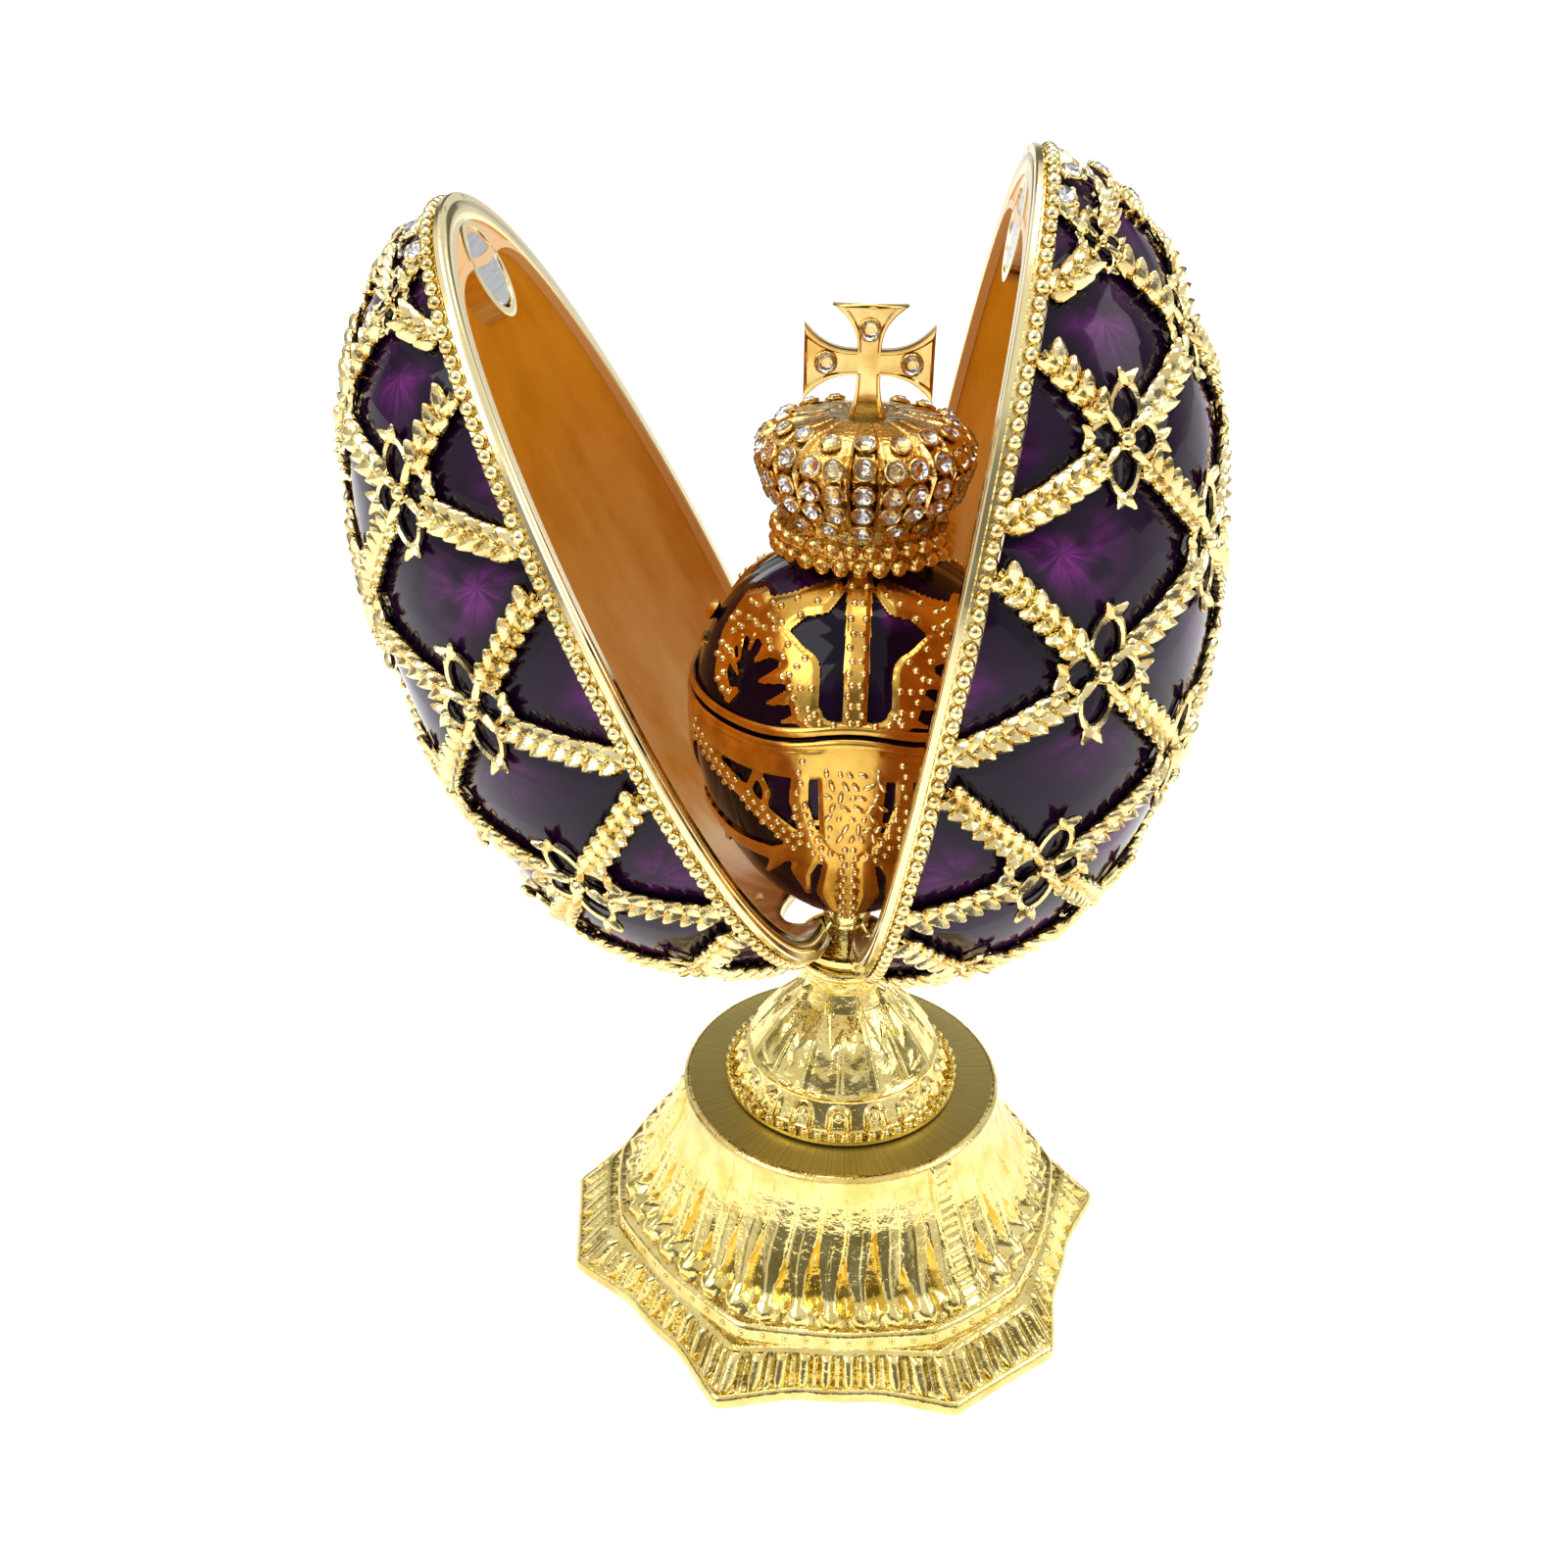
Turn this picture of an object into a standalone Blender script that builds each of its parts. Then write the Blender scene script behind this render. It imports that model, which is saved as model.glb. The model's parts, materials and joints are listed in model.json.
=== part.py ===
"""Jewelled egg trinket box.

An egg of two cast halves stands open on a leaf-carved foot. Each half leans
out on its own pin beside the neck. Between them a small footed egg carries a
pave crown with a flared cross, and its lid lifts off.
Units are metres, +Z is up, and the viewer stands on the -Y side.
"""
import math

import bmesh
import bpy
from mathutils import Matrix, Vector

# Fits between pieces
PIECE_GAP = 0.0003

# Foot: a six-cornered skirted casting with a flat underside
FOOT_HEIGHT = 0.0308
FOOT_SIDE_RADIUS = 0.0385
FOOT_CORNER_REACH = 0.0053
FOOT_EDGE_HEIGHT = 0.0024
TONGUE_BAND_HEIGHT = 0.0046
TONGUE_BAND_INSET = 0.0032
TONGUE_DEPTH = 0.0005
STEP_HEIGHT = 0.0030
STEP_RADIUS = 0.0348
SKIRT_FOOT_RADIUS = 0.0331
SKIRT_LEAF_DEPTH = 0.0007
RING_RADIUS = 0.0245
RING_LIP = 0.0008
FOOT_LEAVES = 42
FOOT_TURN = math.radians(52.0)
BROAD_CORNER_HALF_ANGLE = math.radians(12.0)
CORNER_FLANK_ANGLE = math.radians(24.0)

# Dome and neck casting that stands on the foot's flat ring
DOME_RADIUS = 0.0182
DOME_BEAD_HEIGHT = 0.0012
DOME_BAND_HEIGHT = 0.0048
DOME_RIDGE_RADIUS = 0.0142
DOME_SHOULDER_HEIGHT = 0.0125
DOME_SHOULDER_RADIUS = 0.0098
DOME_LEAVES = 16
DOME_LEAF_DEPTH = 0.0005
NECK_RADIUS = 0.0056
NECK_RISE = 0.0232
NECK_TOP_HEIGHT = FOOT_HEIGHT + NECK_RISE
COLLAR_RADIUS = 0.0070
COLLAR_HEIGHT = 0.0022

# Outer egg, as it is when closed
EGG_CLEARANCE = 0.0026
EGG_BOTTOM_HEIGHT = NECK_TOP_HEIGHT + EGG_CLEARANCE
EGG_HEIGHT = 0.110
EGG_RADIUS = 0.0349
EGG_TAPER = 0.275
EGG_TIP_FULLNESS = 0.359
EGG_WALL = 0.0024
RIM_GAP = 0.0004
RIM_MOULDING_WIDTH = 0.0031
RIM_MOULDING_LIFT = 0.0013
BASE_HOLE_RADIUS = 0.0080
BASE_HOLE_DEPTH = 0.0120

# Raised lattice on the outer egg
LATTICE_COLUMNS = 6
LATTICE_START = 0.300
LATTICE_STEP = 0.0775
LATTICE_LIFT = 0.0010
BAND_HALF_WIDTH = 0.19
BOSS_HALF_WIDTH = 0.34
TIP_COLLAR_START = 0.905
BASE_COLLAR_END = 0.115

# Hinges of the two halves
PIVOT_OFFSET = 0.0112
PIVOT_RISE = 0.0005
PIVOT_HEIGHT = NECK_TOP_HEIGHT + PIVOT_RISE
LEFT_OPEN_ANGLE = math.radians(26.0)
RIGHT_OPEN_ANGLE = math.radians(9.0)
KNUCKLE_RADIUS = 0.0020
KNUCKLE_WIDTH = 0.0052
LUG_WIDTH = 0.0026
PIN_RADIUS = 0.0009
BRACKET_BAR_HEIGHT = 0.0020

# Bracket dish and the stem of the small egg
DISH_RADIUS = 0.0072
DISH_HEIGHT = 0.0024
DISH_DEPTH = 0.0010
STEM_RADIUS = 0.0023
STEM_FLARE_RADIUS = 0.0048

# Magnets in the tips
MAGNET_RADIUS = 0.0048
MAGNET_THICKNESS = 0.0016
MAGNET_RECESS = 0.0002
MAGNET_DROP = 0.0083
BEZEL_WALL = 0.0013
BEZEL_DEPTH = 0.0034

# Small egg: a footed cup and a lid that lifts off
STEM_HEIGHT = 0.0098
CUP_HEIGHT = 0.0356
LID_HEIGHT = 0.0188
CUP_BOTTOM_HEIGHT = NECK_TOP_HEIGHT + STEM_HEIGHT
SEAM_HEIGHT = CUP_BOTTOM_HEIGHT + CUP_HEIGHT
LID_TOP_HEIGHT = SEAM_HEIGHT + LID_HEIGHT
SMALL_EGG_RADIUS = 0.0224
SMALL_EGG_TAPER = -0.125
SMALL_EGG_WALL = 0.0018
SEAM_WAVE = 0.0018
SEAM_RIDGE_LIFT = 0.0008
SEAM_RIDGE_HEIGHT = 0.0013
STRAP_COUNT = 6
STRAP_LIFT = 0.0006
STRAP_FIRST_COLUMN = 2
CUP_FLOOR = 0.0040
LID_CROWN_RADIUS = 0.0095

# Crown and cross
CROWN_BAND_RADIUS = 0.0112
CROWN_BAND_HEIGHT = 0.0034
CROWN_WAIST_RADIUS = 0.0092
CROWN_RADIUS = 0.0134
CROWN_BULGE_HEIGHT = 0.0128
CROWN_SHOULDER_RADIUS = 0.0121
CROWN_TOP_RADIUS = 0.0088
CROWN_HEIGHT = 0.0176
CROWN_DISH_DEPTH = 0.0006
ARCH_COUNT = 8
ARCH_LIFT = 0.0008
CROSS_RISE = 0.0066
CROSS_CENTRE_HEIGHT = LID_TOP_HEIGHT + CROWN_HEIGHT + CROSS_RISE
CROSS_SIDE_REACH = 0.0081
CROSS_TOP_REACH = 0.0070
CROSS_END_HALF_WIDTH = 0.0047
CROSS_WAIST_HALF_WIDTH = 0.0015
CROSS_THICKNESS = 0.0024

# Cut stones
STONE_RADIUS = 0.00125
STONE_HEIGHT = 0.0011
STONE_SEAT_DEPTH = 0.0005
TIP_STONE_POSITION = 0.925
TIP_STONE_COUNT = 3

# Mesh fineness
FOOT_COLUMNS = 2 * FOOT_LEAVES
DOME_COLUMNS = 2 * DOME_LEAVES
SMALL_EGG_COLUMNS = 4 * STRAP_COUNT
CROWN_COLUMNS = 4 * ARCH_COUNT
HOLLOW_COLUMNS = 18
HOLLOW_ROWS = 10
MOULDING_COLUMNS = 24
MOULDING_ROWS = 16
ROUND_SIDES = 12
MAGNET_SIDES = 16
STONE_SIDES = 6


def clear_scene():
    """Remove every object that the scene starts with."""
    for item in list(bpy.data.objects):
        bpy.data.objects.remove(item, do_unlink=True)


def finish(name, colour, roughness, metallic):
    """A plain Principled material for one kind of piece."""
    material = bpy.data.materials.new(name)
    material.use_nodes = True
    shader = material.node_tree.nodes["Principled BSDF"]
    shader.inputs["Base Color"].default_value = (*colour, 1.0)
    shader.inputs["Roughness"].default_value = roughness
    shader.inputs["Metallic"].default_value = metallic
    return material


def add_object(name, mesh_data, material=None):
    """Link a bmesh to the scene as one named object with smooth round faces."""
    mesh = bpy.data.meshes.new(name)
    mesh_data.to_mesh(mesh)
    mesh_data.free()
    mesh.shade_smooth()
    mesh.set_sharp_from_angle(angle=math.radians(35.0))
    item = bpy.data.objects.new(name, mesh)
    bpy.context.collection.objects.link(item)
    if material is not None:
        mesh.materials.append(material)
    return item


def combine(item, tool, operation):
    """Unite or cut an object with a helper solid, then drop the helper."""
    modifier = item.modifiers.new("combine", "BOOLEAN")
    modifier.operation = operation
    modifier.solver = "EXACT"
    modifier.object = tool
    graph = bpy.context.evaluated_depsgraph_get()
    graph.update()
    shaped = bpy.data.meshes.new_from_object(item.evaluated_get(graph))
    item.modifiers.remove(modifier)
    old = item.data
    item.data = shaped
    bpy.data.meshes.remove(old)
    bpy.data.objects.remove(tool, do_unlink=True)


def close_rings(shape, rings, cap_low=True, cap_high=True):
    """Bridge rings of equal length into a skin and cap its ends."""
    count = len(rings[0])
    for lower, upper in zip(rings, rings[1:]):
        for index in range(count):
            after = (index + 1) % count
            shape.faces.new((lower[index], lower[after], upper[after], upper[index]))
    if cap_low:
        shape.faces.new(list(reversed(rings[0])))
    if cap_high:
        shape.faces.new(rings[-1])


def turned(rows, columns, radius_at=None, height_at=None):
    """A closed body turned about Z from rows of (height, radius), low end first.

    radius_at and height_at let a row change its radius or height round the axis.
    """
    shape = bmesh.new()
    rings = []
    for row in rows:
        ring = []
        for column in range(columns):
            angle = 2.0 * math.pi * column / columns
            radius = radius_at(row, column, angle) if radius_at else row[1]
            height = height_at(row, angle) if height_at else row[0]
            point = (radius * math.cos(angle), radius * math.sin(angle), height)
            ring.append(shape.verts.new(point))
        rings.append(ring)
    close_rings(shape, rings)
    bmesh.ops.recalc_face_normals(shape, faces=shape.faces)
    return shape


def cylinder(radius, length, centre, axis, sides=ROUND_SIDES):
    """A solid round bar centred on a point along any axis."""
    shape = bmesh.new()
    bmesh.ops.create_cone(
        shape, cap_ends=True, segments=sides, radius1=radius, radius2=radius, depth=length)
    turn = Vector((0.0, 0.0, 1.0)).rotation_difference(Vector(axis).normalized())
    bmesh.ops.transform(
        shape, matrix=Matrix.Translation(centre) @ turn.to_matrix().to_4x4(), verts=shape.verts)
    return shape


def box(low, high):
    """A solid block between two corners."""
    shape = bmesh.new()
    bmesh.ops.create_cube(shape, size=1.0)
    low = Vector(low)
    high = Vector(high)
    size = Matrix.Diagonal((*(high - low), 1.0))
    bmesh.ops.transform(
        shape, matrix=Matrix.Translation((low + high) / 2.0) @ size, verts=shape.verts)
    return shape


def blend(start, end, share):
    """The value that lies a share of the way from start to end."""
    return start + (end - start) * share


# Foot

def corner_share(angle):
    """How far the foot's outline reaches towards its corners, from 0 to 1.

    Broad two-cornered lobes alternate with pointed ones, six in all.
    """
    spacing = math.pi / 3.0
    lobe = round(angle / spacing)
    distance = abs(angle - lobe * spacing)
    if lobe % 2 == 0:
        if distance < BROAD_CORNER_HALF_ANGLE:
            return 0.8 + 0.2 * (distance / BROAD_CORNER_HALF_ANGLE) ** 2
        distance -= BROAD_CORNER_HALF_ANGLE
    return max(0.0, 1.0 - distance / CORNER_FLANK_ANGLE) ** 1.6


def foot_rows():
    """Rows of (height, radius, corner share, flute depth), from the floor up."""
    tongue_top = FOOT_EDGE_HEIGHT + TONGUE_BAND_HEIGHT
    step_top = tongue_top + STEP_HEIGHT
    inset = FOOT_SIDE_RADIUS - TONGUE_BAND_INSET
    rows = [
        (0.0, FOOT_SIDE_RADIUS, 1.0, 0.0),
        (FOOT_EDGE_HEIGHT, FOOT_SIDE_RADIUS, 1.0, 0.0),
        (FOOT_EDGE_HEIGHT + 0.5 * TONGUE_BAND_HEIGHT,
         blend(FOOT_SIDE_RADIUS, inset, 0.5), 0.82, TONGUE_DEPTH),
        (tongue_top, inset, 0.52, 0.0),
        (tongue_top + 0.0002, STEP_RADIUS, 0.30, 0.0),
        (step_top, STEP_RADIUS, 0.26, 0.0),
        (step_top + 0.0002, SKIRT_FOOT_RADIUS, 0.20, 0.0),
    ]
    skirt_height = FOOT_HEIGHT - RING_LIP - step_top
    for share in (0.14, 0.38, 0.75):
        reach = (1.0 - share) ** 1.5
        height = step_top + share * skirt_height
        radius = RING_RADIUS + (SKIRT_FOOT_RADIUS - RING_RADIUS) * reach
        rows.append((height, radius, 0.20 * reach, SKIRT_LEAF_DEPTH * (1.0 - share * 0.7)))
    rows.append((FOOT_HEIGHT - RING_LIP, RING_RADIUS, 0.0, 0.0))
    rows.append((FOOT_HEIGHT, RING_RADIUS - 0.6 * RING_LIP, 0.0, 0.0))
    return rows


def make_foot(material):
    """The six-cornered foot, with its skirt of leaves and its tongue moulding."""
    def radius_at(row, column, angle):
        flute = row[3] * (0.5 if column % 2 == 0 else -0.5)
        return row[1] + row[2] * FOOT_CORNER_REACH * corner_share(angle) + flute
    shape = turned(foot_rows(), FOOT_COLUMNS, radius_at)
    turn = Matrix.Rotation(-FOOT_TURN, 4, "Z")
    bmesh.ops.transform(shape, matrix=turn, verts=shape.verts)
    return add_object("foot", shape, material)


# Dome and neck

def dome_rows():
    """Rows of (height, radius, leaf depth) of the dome, its neck and collar."""
    base = FOOT_HEIGHT + PIECE_GAP
    band_top = base + DOME_BEAD_HEIGHT + DOME_BAND_HEIGHT
    shoulder = base + DOME_SHOULDER_HEIGHT
    collar = NECK_TOP_HEIGHT - COLLAR_HEIGHT
    throat = blend(shoulder, collar, 0.72)
    return [
        (base, DOME_RADIUS, 0.0),
        (base + DOME_BEAD_HEIGHT, DOME_RADIUS - 0.0003, 0.0),
        (base + DOME_BEAD_HEIGHT, DOME_RADIUS - 0.0016, 0.0),
        (blend(base, band_top, 0.6), blend(DOME_RADIUS, DOME_RIDGE_RADIUS, 0.55), DOME_LEAF_DEPTH),
        (band_top, DOME_RIDGE_RADIUS + 0.0004, 0.0),
        (blend(band_top, shoulder, 0.45), blend(DOME_RIDGE_RADIUS, DOME_SHOULDER_RADIUS, 0.42),
         DOME_LEAF_DEPTH),
        (shoulder, DOME_SHOULDER_RADIUS, DOME_LEAF_DEPTH),
        (blend(shoulder, throat, 0.5), blend(DOME_SHOULDER_RADIUS, NECK_RADIUS, 0.72), 0.0),
        (throat, NECK_RADIUS, 0.0),
        (collar, NECK_RADIUS, 0.0),
        (collar + 0.4 * COLLAR_HEIGHT, COLLAR_RADIUS, 0.0),
        (NECK_TOP_HEIGHT, COLLAR_RADIUS - 0.0006, 0.0),
    ]


def make_dome(material):
    """The leaf-carved dome that narrows to a neck with a rolled collar."""
    def radius_at(row, column, angle):
        return row[1] + row[2] * (0.5 if column % 2 == 0 else -0.5)
    return add_object("dome_and_neck", turned(dome_rows(), DOME_COLUMNS, radius_at), material)


# Bracket between the halves

def make_bracket(material):
    """The dish on the neck, with the stem of the small egg and two knuckles."""
    base = NECK_TOP_HEIGHT + PIECE_GAP
    floor = base + DISH_HEIGHT - DISH_DEPTH
    stem_top = CUP_BOTTOM_HEIGHT - PIECE_GAP
    rows = [
        (base, COLLAR_RADIUS - 0.0008),
        (base + 0.5 * DISH_HEIGHT, DISH_RADIUS),
        (base + DISH_HEIGHT, DISH_RADIUS),
        (base + DISH_HEIGHT, DISH_RADIUS - 0.0008),
        (floor, STEM_FLARE_RADIUS),
        (blend(floor, stem_top, 0.18), blend(STEM_FLARE_RADIUS, STEM_RADIUS, 0.55)),
        (blend(floor, stem_top, 0.42), STEM_RADIUS),
        (blend(floor, stem_top, 0.8), STEM_RADIUS),
        (stem_top, STEM_RADIUS + 0.0007),
    ]
    bracket = add_object("hinge_bracket", turned(rows, ROUND_SIDES), material)
    half_bar = 0.45 * KNUCKLE_WIDTH
    bar_low = (-PIVOT_OFFSET, -half_bar, PIVOT_HEIGHT)
    bar_high = (PIVOT_OFFSET, half_bar, PIVOT_HEIGHT + 0.9 * BRACKET_BAR_HEIGHT)
    combine(bracket, add_object("bar", box(bar_low, bar_high)), "UNION")
    for side in (-1.0, 1.0):
        centre = (side * PIVOT_OFFSET, 0.0, PIVOT_HEIGHT)
        knuckle = cylinder(KNUCKLE_RADIUS, KNUCKLE_WIDTH, centre, (0.0, 1.0, 0.0))
        combine(bracket, add_object("knuckle", knuckle), "UNION")
        bore = cylinder(PIN_RADIUS + PIECE_GAP, 2.0 * KNUCKLE_WIDTH, centre, (0.0, 1.0, 0.0))
        combine(bracket, add_object("bore", bore), "DIFFERENCE")
    return bracket


def make_pin(name, side, material):
    """A hinge pin that joins a half's two lugs to the bracket's knuckle."""
    length = KNUCKLE_WIDTH + 2.0 * (LUG_WIDTH + PIECE_GAP)
    centre = (side * PIVOT_OFFSET, 0.0, PIVOT_HEIGHT)
    return add_object(name, cylinder(PIN_RADIUS, length, centre, (0.0, 1.0, 0.0)), material)


# Outer egg

def egg_radius(turn):
    """The egg's radius where its outline has turned by an angle from the bottom."""
    rise = (1.0 - math.cos(turn)) / 2.0
    taper = 1.0 + EGG_TAPER * math.cos(turn)
    return EGG_RADIUS * math.sin(turn) * taper * (1.0 + EGG_TIP_FULLNESS * rise ** 3)


def egg_height(turn):
    """The height of the egg's outline at that angle."""
    return EGG_BOTTOM_HEIGHT + EGG_HEIGHT * (1.0 - math.cos(turn)) / 2.0


def egg_outline(turn, lift):
    """(radius, height) of the outline, moved outwards by a lift."""
    step = 0.001
    along_radius = egg_radius(turn + step) - egg_radius(turn - step)
    along_height = egg_height(turn + step) - egg_height(turn - step)
    length = math.hypot(along_radius, along_height)
    radius = egg_radius(turn) + lift * along_height / length
    return max(radius, 0.0), egg_height(turn) - lift * along_radius / length


def egg_point(azimuth, turn, lift):
    """A point on the right half, with the azimuth from the viewer's rim."""
    radius, height = egg_outline(turn, lift)
    return Vector((radius * math.sin(azimuth), -radius * math.cos(azimuth), height))


def egg_body(lift, rows, columns):
    """A smooth closed egg whose surface is moved outwards by a lift."""
    shape = bmesh.new()
    rings = []
    for row in range(1, rows):
        radius, height = egg_outline(math.pi * row / rows, lift)
        ring = []
        for column in range(columns):
            angle = 2.0 * math.pi * column / columns + math.pi / 2.0
            point = (radius * math.cos(angle), radius * math.sin(angle), height)
            ring.append(shape.verts.new(point))
        rings.append(ring)
    close_rings(shape, rings, cap_low=False, cap_high=False)
    for ring, turn in ((rings[0], 0.0), (rings[-1], math.pi)):
        pole = shape.verts.new((0.0, 0.0, egg_outline(turn, lift)[1]))
        for index in range(columns):
            shape.faces.new((ring[index], ring[(index + 1) % columns], pole))
    bmesh.ops.recalc_face_normals(shape, faces=shape.faces)
    return shape


def cut_flat(shape, point, normal, drop_outer=True):
    """Cut a shape along a plane and, if asked, drop what lies beyond it."""
    geometry = shape.verts[:] + shape.edges[:] + shape.faces[:]
    bmesh.ops.bisect_plane(
        shape, geom=geometry, dist=1e-8, plane_co=point, plane_no=normal, clear_outer=drop_outer)


def lattice_lines(low, high):
    """Grid lines across the lattice: both edges of each band and the cells' middles."""
    lines = []
    first = 2 * math.floor(low / 2.0)
    for centre in range(first, int(high) + 3, 2):
        lines += [centre - BAND_HALF_WIDTH, centre + BAND_HALF_WIDTH, centre + 1.0]
    return lines


def flared(along, across):
    """Move a band's corner at a crossing outwards, so that the bands swell there."""
    from_along = along - 2.0 * round(along / 2.0)
    from_across = across - 2.0 * round(across / 2.0)
    if abs(from_along) > BOSS_HALF_WIDTH or abs(from_across) > BOSS_HALF_WIDTH:
        return along, across
    swell = BOSS_HALF_WIDTH / BAND_HALF_WIDTH - 1.0
    return along + swell * from_along, across + swell * from_across


def is_raised(along, across, level):
    """Whether a spot of the flat pattern belongs to the raised lattice."""
    turn_share = LATTICE_START + LATTICE_STEP * level
    if turn_share > TIP_COLLAR_START or turn_share < BASE_COLLAR_END:
        return True
    from_along = abs(along - 2.0 * round(along / 2.0))
    from_across = abs(across - 2.0 * round(across / 2.0))
    return min(from_along, from_across) < 0.5 * (BAND_HALF_WIDTH + BOSS_HALF_WIDTH)


def lattice_sheet():
    """The flat pattern of the lattice, in column and level steps, with relief.

    Lattice bands run where column + level or column - level is even.
    """
    low_level = -LATTICE_START / LATTICE_STEP
    high_level = (1.0 - LATTICE_START) / LATTICE_STEP
    low_column = -LATTICE_COLUMNS
    high_column = LATTICE_COLUMNS
    alongs = lattice_lines(low_column + low_level - 2.0, high_column + high_level + 2.0)
    acrosses = lattice_lines(low_column - high_level - 2.0, high_column - low_level + 2.0)
    sheet = bmesh.new()
    grid = {}
    for row, along in enumerate(alongs):
        for place, across in enumerate(acrosses):
            moved_along, moved_across = flared(along, across)
            column = (moved_along + moved_across) / 2.0
            level = (moved_along - moved_across) / 2.0
            grid[row, place] = sheet.verts.new((column, level, 0.0))
    for row in range(len(alongs) - 1):
        for place in range(len(acrosses) - 1):
            corners = (grid[row, place], grid[row, place + 1],
                       grid[row + 1, place + 1], grid[row + 1, place])
            sheet.faces.new(corners)
    trim_sheet(sheet, low_column - 0.5, high_column + 0.5, low_level - 0.5, high_level + 0.5)
    for share in (BASE_COLLAR_END, TIP_COLLAR_START, 0.5 * (1.0 + TIP_COLLAR_START)):
        level = (share - LATTICE_START) / LATTICE_STEP
        cut_flat(sheet, (0, level, 0), (0, 1, 0), drop_outer=False)
    raised = []
    for face in sheet.faces:
        spot = face.calc_center_median()
        if is_raised(spot.x + spot.y, spot.x - spot.y, spot.y):
            raised.append(face)
    pushed = bmesh.ops.extrude_face_region(sheet, geom=raised)
    lifted = [part for part in pushed["geom"] if isinstance(part, bmesh.types.BMVert)]
    bmesh.ops.translate(sheet, vec=(0.0, 0.0, 1.0), verts=lifted)
    bmesh.ops.delete(sheet, geom=raised, context="FACES")
    trim_sheet(sheet, low_column, high_column, low_level, high_level)
    return sheet


def trim_sheet(sheet, low_column, high_column, low_level, high_level):
    """Keep only what lies between two columns and two levels."""
    cut_flat(sheet, (low_column, 0, 0), (-1, 0, 0))
    cut_flat(sheet, (high_column, 0, 0), (1, 0, 0))
    cut_flat(sheet, (0, low_level, 0), (0, -1, 0))
    cut_flat(sheet, (0, high_level, 0), (0, 1, 0))


def lattice_egg():
    """The whole outer egg as one closed solid, with its lattice."""
    shape = lattice_sheet()
    for vert in shape.verts:
        azimuth = math.pi * vert.co.x / LATTICE_COLUMNS
        turn = math.pi * (LATTICE_START + LATTICE_STEP * vert.co.y)
        turn = min(max(turn, 0.0), math.pi)
        vert.co = egg_point(azimuth, turn, LATTICE_LIFT * vert.co.z)
    bmesh.ops.remove_doubles(shape, verts=shape.verts, dist=2e-6)
    bmesh.ops.recalc_face_normals(shape, faces=shape.faces)
    return shape


def fill_holes(shape):
    """Close every open edge loop with a flat face and turn all faces outwards."""
    open_edges = [edge for edge in shape.edges if edge.is_boundary]
    bmesh.ops.holes_fill(shape, edges=open_edges, sides=0)
    bmesh.ops.recalc_face_normals(shape, faces=shape.faces)


def rim_plate():
    """A solid plate along the rim plane whose edge becomes the rim's moulding."""
    shape = egg_body(RIM_MOULDING_LIFT, MOULDING_ROWS, MOULDING_COLUMNS)
    for side in (-1.0, 1.0):
        edge = side * (RIM_GAP / 2.0 + RIM_MOULDING_WIDTH)
        cut_flat(shape, (edge, 0.0, 0.0), (side, 0.0, 0.0))
        fill_holes(shape)
    return shape


def lug(near, far, top):
    """A hinge lug: an upright plate with a round lower end about the pivot."""
    outline = [(PIVOT_OFFSET + KNUCKLE_RADIUS, top), (PIVOT_OFFSET - KNUCKLE_RADIUS, top)]
    for step in range(ROUND_SIDES // 2 + 1):
        angle = math.pi + 2.0 * math.pi * step / ROUND_SIDES
        outline.append((PIVOT_OFFSET + KNUCKLE_RADIUS * math.cos(angle),
                        PIVOT_HEIGHT + KNUCKLE_RADIUS * math.sin(angle)))
    shape = bmesh.new()
    rings = [[shape.verts.new((x, y, z)) for x, z in outline] for y in (near, far)]
    close_rings(shape, rings)
    bmesh.ops.recalc_face_normals(shape, faces=shape.faces)
    return shape


def magnet_centre():
    """The centre of the magnet seat, on the rim plane of the right half."""
    return Vector((RIM_GAP / 2.0, 0.0, EGG_BOTTOM_HEIGHT + EGG_HEIGHT - MAGNET_DROP))


def tip_stone_places():
    """(centre, outward direction) of each stone near the tip of the right half."""
    places = []
    turn = math.pi * TIP_STONE_POSITION
    for index in range(TIP_STONE_COUNT):
        azimuth = math.pi * (index + 0.5) / TIP_STONE_COUNT
        inner = egg_point(azimuth, turn, 0.0)
        outer = egg_point(azimuth, turn, LATTICE_LIFT)
        places.append((outer, (outer - inner).normalized()))
    return places


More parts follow.
